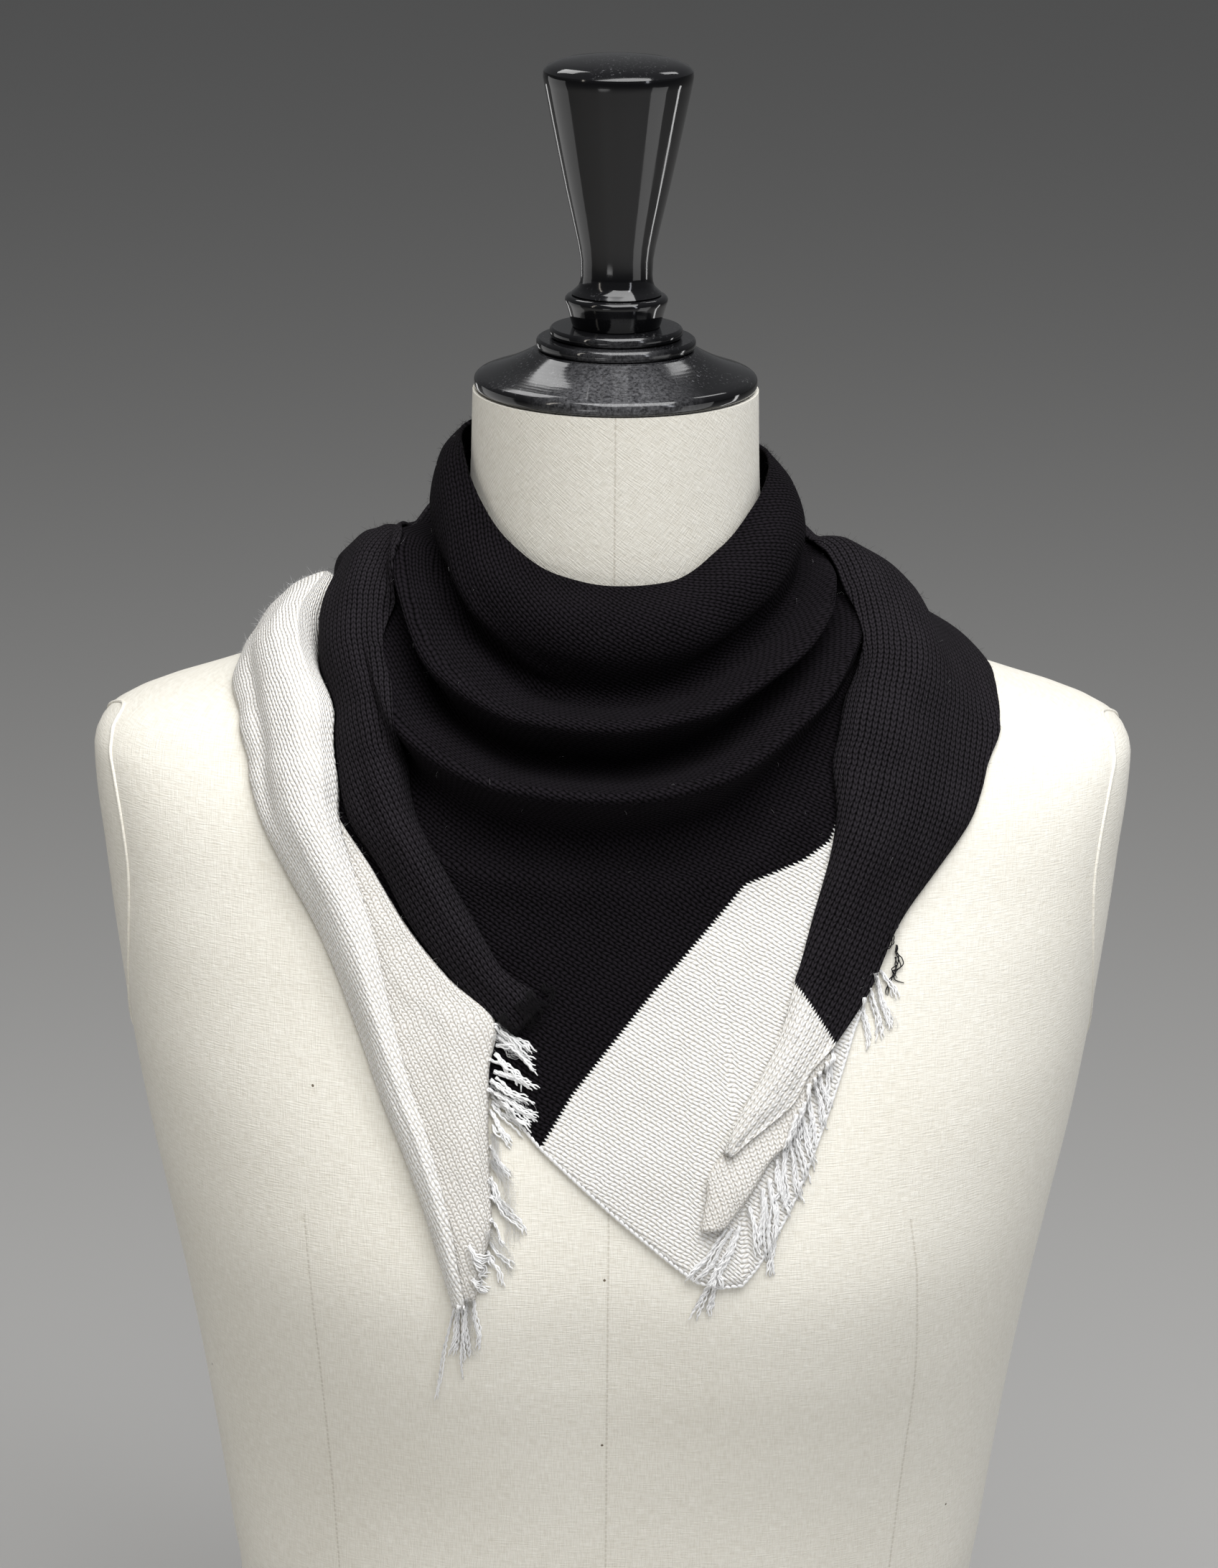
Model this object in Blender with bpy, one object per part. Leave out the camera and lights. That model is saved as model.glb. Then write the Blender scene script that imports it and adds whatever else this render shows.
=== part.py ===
"""A knitted triangle scarf worn on a limbless linen dress form.

The form stands on its flat base, +Z up, with its chest facing -Y. The origin is
the middle of the base. Heights and radii in the tables are millimetres, and
angles are degrees round the neck's axis, from the front (0) to +X (90), with the
back at 180. The scarf hangs in front as a neck roll, two swags and a bib. Its two
ends pass behind the nape, cross there, and come forward over the shoulders as
tails that lie on the bib.
"""

import math
from collections import namedtuple

import bmesh
import bpy
import numpy as np
from mathutils import Vector
from mathutils.bvhtree import BVHTree
from mathutils.interpolate import poly_3d_calc

MM = 0.001

# ---- form -----------------------------------------------------------------------
NECK_TOP = 659.7          # linen top of the neck, just under the plate
NECK_AXIS_Y = 9.0         # the angles are measured round this line
FORM_SIDES = 48
FIELD_SIDES = 160         # finer copy of the form that the cloth is laid on
FIELD_STEP = 3.5
BUST_SIDE = 94.0
BUST_HEIGHT = 345.0
BUST_SPREAD = 47.0
BUST_RISE = 9.0

FormRow = namedtuple("FormRow", "height half_width front back squareness centre_y")
FORM_ROWS = (
    FormRow(0.0, 157.0, 104.0, 118.0, 2.35, 4.0),
    FormRow(30.0, 158.5, 106.0, 120.0, 2.35, 4.0),
    FormRow(70.0, 157.0, 106.0, 118.0, 2.35, 4.0),
    FormRow(120.0, 149.0, 103.0, 108.0, 2.30, 4.0),
    FormRow(165.0, 142.5, 102.0, 96.0, 2.25, 4.0),
    FormRow(190.0, 143.0, 103.0, 91.0, 2.25, 4.0),
    FormRow(215.0, 146.3, 106.0, 89.0, 2.30, 4.0),
    FormRow(250.0, 151.0, 112.0, 89.0, 2.30, 4.0),
    FormRow(285.0, 156.0, 120.0, 91.0, 2.35, 4.0),
    FormRow(320.0, 161.7, 128.0, 94.0, 2.40, 4.0),
    FormRow(355.0, 168.5, 132.0, 98.0, 2.45, 4.0),
    FormRow(391.0, 176.0, 128.0, 102.0, 2.50, 4.0),
    FormRow(426.0, 181.8, 119.0, 104.0, 2.60, 4.0),
    FormRow(460.0, 186.7, 107.0, 104.0, 2.60, 4.0),
    FormRow(490.0, 190.5, 95.0, 101.0, 2.60, 5.0),
    FormRow(512.0, 193.5, 86.0, 96.0, 2.50, 6.0),
    FormRow(524.0, 194.3, 79.0, 91.0, 2.40, 7.0),
    FormRow(531.5, 191.5, 74.5, 87.0, 2.30, 8.0),
    FormRow(537.8, 182.0, 71.5, 84.0, 2.20, 8.0),
    FormRow(543.8, 163.0, 69.0, 81.0, 2.15, 9.0),
    FormRow(551.0, 140.0, 66.0, 77.0, 2.10, 10.0),
    FormRow(560.0, 115.0, 63.0, 72.0, 2.05, 10.0),
    FormRow(569.5, 91.0, 59.5, 66.0, 2.00, 10.0),
    FormRow(579.0, 73.5, 56.5, 61.0, 2.00, 10.0),
    FormRow(588.0, 63.0, 54.0, 56.0, 2.00, 9.0),
    FormRow(600.0, 57.0, 52.5, 53.0, 2.00, 7.0),
    FormRow(625.0, 53.5, 52.0, 52.0, 2.00, 4.0),
    FormRow(NECK_TOP, 52.5, 51.5, 51.5, 2.00, 0.0),
)

# ---- cap and handle: (radius, height) profiles above each piece's own seat ----------
CAP_SIDES = 30
JOINT_GAP = 0.3
PLATE_PROFILE = ((50.6, 0.0), (52.0, 1.2), (52.0, 4.0), (50.8, 5.2), (40.0, 9.2), (29.5, 14.4))
LOWER_RING_PROFILE = ((28.4, 0.0), (29.2, 0.9), (29.2, 2.9), (28.2, 3.8))
UPPER_RING_PROFILE = ((23.6, 0.0), (24.3, 0.8), (24.3, 2.7), (23.4, 3.5))
FERRULE_PROFILE = ((17.2, 0.0), (17.4, 4.2), (17.8, 6.2), (18.7, 7.5), (18.85, 9.2), (18.4, 10.7), (17.1, 11.4))
HANDLE_PROFILE = ((16.6, 0.0), (15.0, 1.5), (13.6, 3.6), (13.1, 7.0), (13.4, 12.7), (16.1, 25.8), (26.8, 76.0),
                  (27.3, 79.0), (27.0, 81.2), (25.6, 82.6), (20.0, 84.8), (11.0, 86.1))

# ---- cloth --------------------------------------------------------------------------
WALL = 2.0                # the knit and its folded layers, as one wall
REST_LIFT = 3.1           # outer skin above whatever the cloth rests on
SEAM = 0.6                # between stretches that meet edge to edge
SIDE_STEP = 6.5           # degrees between the drape's columns

# The front drape: each fold line's radius from the neck's axis and its height, at
# angles from behind the left side (-100) to behind the right side (+100).
DRAPE_ANGLES = (-100, -80, -60, -40, -20, 0, 20, 40, 60, 80, 100)
Fold = namedtuple("Fold", "name radii heights")
FOLDS = (
    Fold("neck edge",
         (57.6, 58.0, 59.2, 59.8, 59.8, 59.8, 59.8, 59.8, 59.2, 58.0, 57.6),
         (642, 640, 627, 611, 601, 598, 599, 609, 622, 630, 633)),
    Fold("roll top",
         (64, 65, 67, 69, 69, 68, 69, 69, 69, 67, 65),
         (634, 631, 616, 599, 589, 586, 588, 598, 612, 621, 624)),
    Fold("roll crest",
         (67, 69, 73, 77, 77, 76, 77, 77, 76, 73, 69),
         (618, 615, 601, 583, 573, 570, 573, 584, 597, 606, 610)),
    Fold("first valley",
         (67, 69, 72, 74, 73, 71, 72, 74, 74, 72, 68),
         (604, 603, 592, 573, 560, 557.5, 561, 572, 583, 592, 597)),
    Fold("upper swag crest",
         (75, 79, 85, 91, 90, 87, 88, 90, 88, 81, 75),
         (602, 603, 588, 564, 551, 548.5, 553, 567, 581, 592, 596)),
    Fold("second valley",
         (79, 83, 88, 92, 87, 83, 84, 87, 88, 83, 78),
         (596, 596, 577, 549, 536, 533.5, 539, 557, 573, 585, 590)),
    Fold("lower swag crest",
         (84, 88, 98, 107, 103, 100, 101, 102, 98, 91, 84),
         (592, 592, 571, 543, 529, 526.5, 532, 551, 569, 582, 587)),
    Fold("swag underside",
         (87, 92, 106, 115, 106, 102, 104, 108, 107, 97, 88),
         (583, 582, 559, 525, 513, 511, 515, 536, 559, 575, 581)),
)
# Where the lower swag runs out into the flat bib.
BIB_TOP_LIFTS = (4, 5, 7, 8, 8, 8, 8, 7, 6, 5, 4)
BIB_TOP_HEIGHTS = (578, 572, 542, 506, 497, 496.5, 499, 519, 549, 571, 577)
# The bib's lower edge: corner points of its outline, as (angle, height).
HEM = ((-100, 576.0), (-80, 568.0), (-70, 557.0), (-60, 538.0), (-50, 512.0), (-40, 485.0),
       (-30, 456.0), (-20, 431.0), (-11, 409.0), (0, 386.5), (11.5, 364.0), (14, 361.5),
       (19, 360.0), (21, 367.0), (25.5, 386.0), (31, 413.0), (38, 447.0), (44, 464.0),
       (50, 496.0), (60, 534.0), (70, 555.0), (80, 567.0), (100, 574.0))
# The knitted-in line between black and white on the bib.
COLOUR_LINE = ((-11, 409.0), (-6, 427.0), (0, 443.5), (7, 463.0), (13.5, 480.0), (20.5, 498.5))

# Ribbons of cloth: a row for each station along the stretch. Each edge is the
# place on the form that it lies over. The lifts are the outer skin's height above
# the form, at SECTION_PLACES across from the inner edge to the outer one.
SECTION_PLACES = (0.0, 0.15, 0.35, 0.5, 0.65, 0.85, 1.0)
Station = namedtuple("Station", "inner_angle inner_height outer_angle outer_height lifts")

# From the drape's left end, behind the nape, towards the right shoulder.
NAPE_WRAP_UNDER = (
    Station(-101, 642, -101.5, 589, (4, 7, 9, 12, 15, 17, 18)),
    Station(-125, 646, -126, 579, (4, 11, 14, 12, 14, 12, 8)),
    Station(-152, 645, -152, 570.7, (4, 12, 15, 12, 15, 12, 4)),
    Station(-178, 638, -178, 565.9, (4, 12, 15, 11, 15, 12, 4)),
    Station(-205, 626, -206, 560, (4, 12, 15, 11, 14, 11, 4)),
    Station(-222, 614, -224, 555.5, (4, 12, 15, 12, 13, 10, 4)),
)
# From the drape's right end, behind the nape and over the first, to the left shoulder.
NAPE_WRAP_OVER = (
    Station(101, 633, 101.5, 605, (4, 7, 9, 9, 9, 8, 7)),
    Station(125, 640, 126, 602, (4, 9, 11, 10, 10, 8, 6)),
    Station(152, 644, 152, 590, (4, 12, 14, 11, 13, 11, 6)),
    Station(178, 639, 178, 575.4, (5, 13, 16, 12, 16, 13, 7)),
    Station(205, 625, 206, 561.2, (5, 14, 17, 13, 16, 12, 5)),
    Station(221.5, 612, 223.5, 555.5, (5, 14, 17, 15, 14, 11, 6)),
)
RIGHT_TAIL_BLACK = (
    Station(137, 611, 135.5, 554.4, (4, 9, 12, 12, 13, 10, 4)),
    Station(122, 596, 123, 551, (6, 12.1, 14.2, 13.4, 11.6, 8.5, 4)),
    Station(107, 586, 109, 551, (12, 17.1, 17.5, 14.9, 10.4, 9.2, 4)),
    Station(90, 582, 91, 551.3, (20, 24.2, 22.8, 18.5, 10.2, 8.9, 4)),
    Station(76, 571.9, 83, 548.9, (18.1, 21.4, 20.9, 17.4, 11.9, 9.5, 4)),
    Station(66, 560.3, 74, 544.1, (15.1, 18.3, 18.7, 16, 12.3, 9, 4)),
    Station(56, 551.7, 68, 535.3, (13, 15.1, 15.2, 13.3, 11.4, 8.4, 4)),
    Station(49, 536, 64, 526.9, (12, 14, 14, 12, 10.1, 7.1, 4)),
    Station(44, 517, 59, 513.9, (11, 13, 13, 11, 9, 7, 4)),
    Station(40, 501, 53.5, 497, (10, 12, 12, 10, 8, 6, 4)),
    Station(36, 485, 47, 480, (8, 10, 10, 9, 8, 6, 4)),
    Station(32.5, 470, 41, 459, (7, 9, 9, 8, 7.5, 6, 5)),
    Station(31, 464, 35, 443, (6.5, 8.5, 9, 8.5, 8, 7, 6)),
)
RIGHT_TAIL_WHITE = (
    Station(31, 463.3, 35, 442.3, (6.5, 8.5, 9.5, 9, 8.5, 7.5, 7)),
    Station(28, 448, 31, 434, (6.5, 9, 10, 10, 9.5, 8.5, 7)),
    Station(24, 433, 28, 424, (6.5, 9, 10, 10, 9.5, 8.5, 7)),
    Station(21, 423, 25, 418, (6.5, 8.5, 9.5, 9.5, 9, 8, 7)),
    Station(18.5, 413, 21, 411, (6.5, 8, 8.5, 8.5, 8, 7.5, 7)),
    Station(17.3, 407, 18.5, 406, (6, 6.5, 7, 7, 6.5, 6.5, 6)),
)
RIGHT_TAIL_REVERSE = (
    Station(33.5, 440, 35, 438.5, (5, 5, 5, 5, 5, 5, 5)),
    Station(27.5, 431, 31.5, 431, (5, 5.5, 6, 6, 6, 6, 6)),
    Station(23.6, 415, 27.4, 413, (5, 5.5, 6, 6, 6, 6, 6)),
    Station(17.2, 400.5, 23.8, 404, (5, 5.5, 6, 6.5, 6.5, 6.5, 6)),
    Station(14.5, 392, 21, 394, (5, 6, 6.5, 7, 7, 6.5, 6)),
    Station(13.5, 380, 17, 381, (5, 5.5, 6, 6.5, 6.5, 6, 6)),
)
LEFT_TAIL_BLACK = (
    Station(-136.5, 611, -135, 557.8, (5, 14, 17, 15, 14, 12, 10)),
    Station(-122, 595, -122, 557.8, (8, 16, 18.2, 18.3, 16.5, 14.4, 12)),
    Station(-107, 584, -107, 561.2, (15, 22.1, 24.4, 23.7, 22, 18.9, 16)),
    Station(-91, 578.4, -91, 567.8, (22, 28.1, 29.4, 28.7, 27, 24.9, 21)),
    Station(-76, 576.6, -82, 563, (19, 25.2, 27.5, 26.8, 24.1, 20.9, 18)),
    Station(-61, 562.2, -71, 555.6, (16, 22.1, 23.3, 22.5, 20.7, 17.5, 15)),
    Station(-53, 549, -60.5, 544.4, (13, 19, 20, 19, 17.1, 15.1, 13)),
    Station(-46.5, 534, -54.5, 528.9, (12, 17, 18, 17, 15, 13, 11)),
    Station(-40, 517, -49, 514, (11, 15, 16, 15, 13, 12, 10)),
    Station(-32.5, 500, -42.5, 500, (10, 13, 14, 13, 12, 10, 9)),
    Station(-25.5, 483, -36, 482, (9, 12, 12, 11, 10, 9, 8)),
    Station(-19.5, 468, -28, 465, (8, 10, 10, 10, 9, 8, 7.5)),
    Station(-14, 461, -19.5, 451, (7, 8, 8.5, 8, 7.5, 7, 7)),
)
LEFT_TAIL_WHITE = (
    Station(-135, 556.6, -135, 552.1, (9, 9, 8.5, 8, 7, 6, 4)),
    Station(-122, 556.6, -122, 547.9, (11.1, 12.3, 11.5, 10.7, 8.9, 6.6, 4)),
    Station(-107, 560, -107, 548.9, (16.2, 17.7, 17.3, 14.7, 12.1, 7.5, 4)),
    Station(-91, 566.6, -91, 551.3, (20.2, 22.3, 21.6, 19.2, 15.9, 8.1, 4)),
    Station(-82, 562.4, -82, 548.9, (17.2, 20.8, 20.4, 18, 14.4, 7.7, 4)),
    Station(-71, 554.5, -73, 543.2, (14.2, 18.6, 19, 17.3, 13.6, 7.1, 4)),
    Station(-60.5, 543.4, -67, 534, (12, 16.1, 18.3, 16.4, 13.5, 7.4, 4)),
    Station(-54.7, 527.9, -63, 523.3, (10, 15, 17, 16, 13.1, 7.1, 4)),
    Station(-50.5, 516, -59.5, 513, (9, 14, 16, 15, 12, 7, 4)),
    Station(-45.5, 499, -53.5, 495, (9, 13, 15, 14, 11, 7, 4)),
    Station(-39.5, 476, -46, 472, (9, 12, 14, 13, 11, 7, 4)),
    Station(-34.5, 451, -39.5, 447, (8.5, 11, 13, 12, 10, 6, 4)),
    Station(-30, 428, -34, 423, (8.5, 10, 11, 10, 9, 6, 4)),
    Station(-26, 408, -29, 401, (8, 9, 10, 9, 8, 6, 4)),
    Station(-22.5, 383, -25, 378, (7.5, 8, 8.5, 8, 7, 5.5, 4)),
    Station(-20.6, 361, -22.4, 358, (6, 6.5, 6.5, 6, 5.5, 4.5, 4)),
    Station(-20.2, 354, -21.6, 352, (5, 5, 5, 5, 5, 4.5, 4)),
)
LEFT_TAIL_REVERSE = (
    Station(-49.8, 512, -52, 511, (5, 5, 5, 5, 5, 5, 5)),
    Station(-44.2, 499, -48, 498, (6, 6, 6, 6, 5.5, 5, 5)),
    Station(-37, 479, -42, 476, (7, 7, 7, 6.5, 6, 5.5, 5)),
    Station(-28, 462, -38, 457, (6.5, 7, 7, 7, 6, 5.5, 5)),
    Station(-20.2, 449, -36, 446, (6, 7, 8, 7, 6.5, 5.5, 5)),
    Station(-20, 434, -33, 432, (6, 7, 8, 7, 6.5, 5.5, 5)),
    Station(-18.5, 413, -28.5, 412, (6, 7, 7.5, 7, 6, 5.5, 5)),
    Station(-17.5, 395, -25.2, 395, (5, 6, 6.5, 6, 5.5, 5, 4)),
    Station(-17, 380, -23, 380, (5, 6, 6, 6, 5.5, 5, 4)),
    Station(-18, 366, -21.6, 366, (4.5, 5, 5, 5, 4.5, 4, 4)),
    Station(-18.6, 356, -19.8, 356, (4, 4, 4, 4, 4, 4, 4)),
)
# Fringe: the plain reach of the loose threads beside each cut edge.
FLAT_LIFTS = (5, 5, 5, 5, 5, 5, 5)
FRINGE_LIFTS = (4, 4.4, 4.8, 5, 5.3, 5.7, 6)
LEFT_FRINGE = (
    Station(-15.0, 450, -19.6, 447, FRINGE_LIFTS),
    Station(-11.5, 437, -19.4, 434, FRINGE_LIFTS),
    Station(-12.4, 420, -18.3, 418, FRINGE_LIFTS),
    Station(-12.0, 406, -17.6, 404, FRINGE_LIFTS),
    Station(-13.4, 392, -16.9, 391, FRINGE_LIFTS),
    Station(-13.5, 376, -16.6, 378, FRINGE_LIFTS),
    Station(-15.4, 357, -17.6, 363, FRINGE_LIFTS),
)
LEFT_TIP_FRINGE = (
    Station(-18.8, 353.6, -21.6, 351.2, FLAT_LIFTS),
    Station(-18.5, 336, -23.5, 333, FLAT_LIFTS),
    Station(-21.5, 316, -25.0, 313, FLAT_LIFTS),
)
RIGHT_FRINGE = (
    Station(31.8, 427.5, 33.2, 429, FLAT_LIFTS),
    Station(27.6, 410, 31.2, 412, FLAT_LIFTS),
    Station(24.3, 401, 29.0, 400, FLAT_LIFTS),
    Station(21.3, 390.5, 26.0, 384, FLAT_LIFTS),
    Station(17.3, 377, 22.5, 366, FLAT_LIFTS),
)
RIGHT_TIP_FRINGE = (
    Station(13.2, 376.6, 17.0, 374.5, FLAT_LIFTS),
    Station(11.0, 363, 17.0, 362, FLAT_LIFTS),
    Station(10.5, 355, 14.5, 348, FLAT_LIFTS),
)
RIGHT_TUFT = (
    Station(39.7, 455, 42.4, 461, FLAT_LIFTS),
    Station(36.4, 446.5, 43.2, 447, FLAT_LIFTS),
    Station(35.8, 437, 39.4, 435, FLAT_LIFTS),
)

Finish = namedtuple("Finish", "name colour roughness")
LINEN = Finish("linen", (0.72, 0.69, 0.60), 0.9)
LACQUER = Finish("black_lacquer", (0.006, 0.006, 0.007), 0.12)
BLACK_KNIT = Finish("black_knit", (0.012, 0.012, 0.014), 0.95)
WHITE_KNIT = Finish("white_knit", (0.78, 0.78, 0.76), 0.95)


def remove_all_objects():
    for obj in list(bpy.data.objects):
        bpy.data.objects.remove(obj, do_unlink=True)


def material_for(finish):
    known = bpy.data.materials.get(finish.name)
    if known is not None:
        return known
    made = bpy.data.materials.new(finish.name)
    made.use_nodes = True
    shader = made.node_tree.nodes["Principled BSDF"]
    shader.inputs["Base Color"].default_value = (*finish.colour, 1.0)
    shader.inputs["Roughness"].default_value = finish.roughness
    shader.inputs["Metallic"].default_value = 0.0
    return made


def object_from(name, points, faces, finish):
    mesh = bpy.data.meshes.new(name)
    mesh.from_pydata([tuple(p) for p in points], [], faces)
    mesh.materials.append(material_for(finish))
    mesh.shade_smooth()
    obj = bpy.data.objects.new(name, mesh)
    bpy.context.scene.collection.objects.link(obj)
    return obj


# ---- curves and tables ----------------------------------------------------------------

def smooth_between(places, values, at):
    """Value at a place, on a smooth curve through the table that never overshoots."""
    places = np.asarray(places, float)
    values = np.asarray(values, float)
    step = int(np.clip(np.searchsorted(places, at) - 1, 0, len(places) - 2))
    width = places[step + 1] - places[step]
    t = (at - places[step]) / width

    def slope(k):
        if k == 0 or k == len(places) - 1:
            side = 0 if k == 0 else k - 1
            return (values[side + 1] - values[side]) / (places[side + 1] - places[side])
        before = (values[k] - values[k - 1]) / (places[k] - places[k - 1])
        after = (values[k + 1] - values[k]) / (places[k + 1] - places[k])
        total = np.where(before + after == 0.0, 1.0, before + after)
        return np.where(before * after > 0.0, 2.0 * before * after / total, 0.0)

    return ((2 * t**3 - 3 * t**2 + 1) * values[step] + (t**3 - 2 * t**2 + t) * width * slope(step)
            + (3 * t**2 - 2 * t**3) * values[step + 1] + (t**3 - t**2) * width * slope(step + 1))


def rounded_through(points, at):
    """Point on a Catmull-Rom curve through evenly numbered points."""
    points = np.asarray(points, float)
    last = len(points) - 1
    step = int(np.clip(math.floor(at), 0, last - 1))
    t = at - step
    p1 = points[step]
    p2 = points[step + 1]
    p0 = points[step - 1] if step > 0 else 2 * p1 - p2
    p3 = points[step + 2] if step + 2 <= last else 2 * p2 - p1
    return 0.5 * (2 * p1 + (p2 - p0) * t + (2 * p0 - 5 * p1 + 4 * p2 - p3) * t**2
                  + (3 * p1 - p0 - 3 * p2 + p3) * t**3)


# ---- the form --------------------------------------------------------------------------

def form_ring(height, sides):
    """Points of the form's outline at a height, from the front round by +X."""
    rows = np.array(FORM_ROWS)
    _, half_width, front, back, squareness, centre_y = smooth_between(rows[:, 0], rows, height)
    rise = BUST_RISE * math.exp(-((height - BUST_HEIGHT) / BUST_SPREAD) ** 2 / 2)
    ring = []
    for k in range(sides):
        turn = 2 * math.pi * k / sides
        s, c = math.sin(turn), math.cos(turn)
        x = half_width * math.copysign(abs(s) ** (2 / squareness), s)
        depth = front if c > 0 else back
        y = centre_y - depth * math.copysign(abs(c) ** (2 / squareness), c)
        if c > 0:
            y -= rise * math.exp(-((abs(x) - BUST_SIDE) / BUST_SPREAD) ** 2 / 2) * min(1.0, 3 * c)
        ring.append((x * MM, y * MM, height * MM))
    return ring


def ring_faces(ring_count, sides):
    faces = []
    for level in range(ring_count - 1):
        for k in range(sides):
            here = level * sides + k
            beside = level * sides + (k + 1) % sides
            faces.append((here, beside, beside + sides, here + sides))
    return faces


def form_heights():
    """Ring heights: the table's own rows, with one more between the far ones."""
    heights = []
    for row, following in zip(FORM_ROWS, FORM_ROWS[1:]):
        heights.append(row.height)
        if following.height - row.height > 32.0:
            heights.append(0.5 * (row.height + following.height))
    heights.append(NECK_TOP)
    return heights


def make_form():
    heights = form_heights()
    points = [p for h in heights for p in form_ring(h, FORM_SIDES)]
    faces = ring_faces(len(heights), FORM_SIDES)
    faces.append(tuple(reversed(range(FORM_SIDES))))
    top = (len(heights) - 1) * FORM_SIDES
    faces.append(tuple(range(top, top + FORM_SIDES)))
    return object_from("form_torso", points, faces, LINEN)


class ClothField:
    """The form's surface, as something that cloth can be laid on."""

    def __init__(self):
        heights = np.arange(250.0, NECK_TOP, FIELD_STEP)
        self.points = [Vector(p) for h in heights for p in form_ring(h, FIELD_SIDES)]
        self.faces = ring_faces(len(heights), FIELD_SIDES)
        self.tree = BVHTree.FromPolygons(self.points, self.faces)
        self.normals = [Vector() for _ in self.points]
        for face in self.faces:
            a, b, c, d = (self.points[i] for i in face)
            lean = (c - a).cross(d - b)
            for i in face:
                self.normals[i] += lean

    def nearest(self, point):
        """Closest place on the form, and the smooth outward direction there."""
        place, _, face, _ = self.tree.find_nearest(Vector(point))
        corners = self.faces[face]
        weights = poly_3d_calc([self.points[i] for i in corners], place)
        lean = Vector()
        for weight, i in zip(weights, corners):
            lean += weight * self.normals[i].normalized()
        return place, lean.normalized()

    def cleared(self, point, lift):
        """The point, or the place straight above the form at `lift` if it is lower."""
        place, lean = self.nearest(point)
        above = (point - place).dot(lean)
        return point if above >= lift * MM else place + lean * (lift * MM)

    def at(self, angle, height):
        """Place on the form at an angle round the neck's axis and a height."""
        turn = math.radians(angle)
        outward = Vector((math.sin(turn), -math.cos(turn), 0.0))
        axis = Vector((0.0, NECK_AXIS_Y * MM, height * MM))
        place, _, _, _ = self.tree.ray_cast(axis + outward * 0.4, -outward)
        return place


def cylinder_point(angle, radius, height):
    turn = math.radians(angle)
    return Vector((radius * math.sin(turn), NECK_AXIS_Y - radius * math.cos(turn), height)) * MM


# ---- turned cap and handle -----------------------------------------------------------

def make_turned(name, profile, seat):
    """A lacquered piece turned about the neck plate's axis, standing on `seat`."""
    shape = bmesh.new()
    outline = [(0.0, profile[0][1])] + list(profile) + [(0.0, profile[-1][1] + 0.25)]
    corners = [shape.verts.new((r * MM, 0.0, (seat + h) * MM)) for r, h in outline]
    edges = [shape.edges.new(pair) for pair in zip(corners, corners[1:])]
    bmesh.ops.spin(shape, geom=corners + edges, axis=(0, 0, 1), cent=(0, 0, 0),
                   angle=2 * math.pi, steps=CAP_SIDES, use_merge=True)
    bmesh.ops.remove_doubles(shape, verts=shape.verts, dist=0.00002)
    bmesh.ops.recalc_face_normals(shape, faces=shape.faces)
    mesh = bpy.data.meshes.new(name)
    shape.to_mesh(mesh)
    shape.free()
    mesh.materials.append(material_for(LACQUER))
    mesh.shade_smooth()
    obj = bpy.data.objects.new(name, mesh)
    bpy.context.scene.collection.objects.link(obj)
    return obj


def make_cap():
    seat = NECK_TOP + JOINT_GAP
    for name, profile in (("neck_plate", PLATE_PROFILE),
                          ("cap_ring_lower", LOWER_RING_PROFILE),
                          ("cap_ring_upper", UPPER_RING_PROFILE),
                          ("handle_ferrule", FERRULE_PROFILE),
                          ("handle", HANDLE_PROFILE)):
        make_turned(name, profile, seat)
        seat += profile[-1][1] + 0.25 + JOINT_GAP


# ---- cloth -----------------------------------------------------------------------------

def make_sheet(name, grid, finish):
    """A wall of cloth: the grid is its outer skin, and the wall grows inwards."""
    rows = len(grid)
    columns = len(grid[0])
    points = [p for row in grid for p in row]
    faces = []
    for i in range(rows - 1):
        for j in range(columns - 1):
            here = i * columns + j
            faces.append((here, here + columns, here + columns + 1, here + 1))
    obj = object_from(name, points, faces, finish)
    middle = obj.data.polygons[len(faces) // 2]
    outward = Vector((middle.center.x, middle.center.y - NECK_AXIS_Y * MM, 0.03))
    if middle.normal.dot(outward) < 0:
        obj.data.flip_normals()
    wall = obj.modifiers.new("wall", "SOLIDIFY")
    wall.thickness = WALL * MM
    wall.offset = -1.0
    return obj


def sheet_tree(grids):
    """The outer skins of cloth already laid, for the next layer to rest on."""
    points = []
    faces = []
    for grid in grids:
        start = len(points)
        columns = len(grid[0])
        points.extend(p for row in grid for p in row)
        for i in range(len(grid) - 1):
            for j in range(columns - 1):
                here = start + i * columns + j
                faces.append((here, here + columns, here + columns + 1, here + 1))
    return BVHTree.FromPolygons(points, faces)


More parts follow.
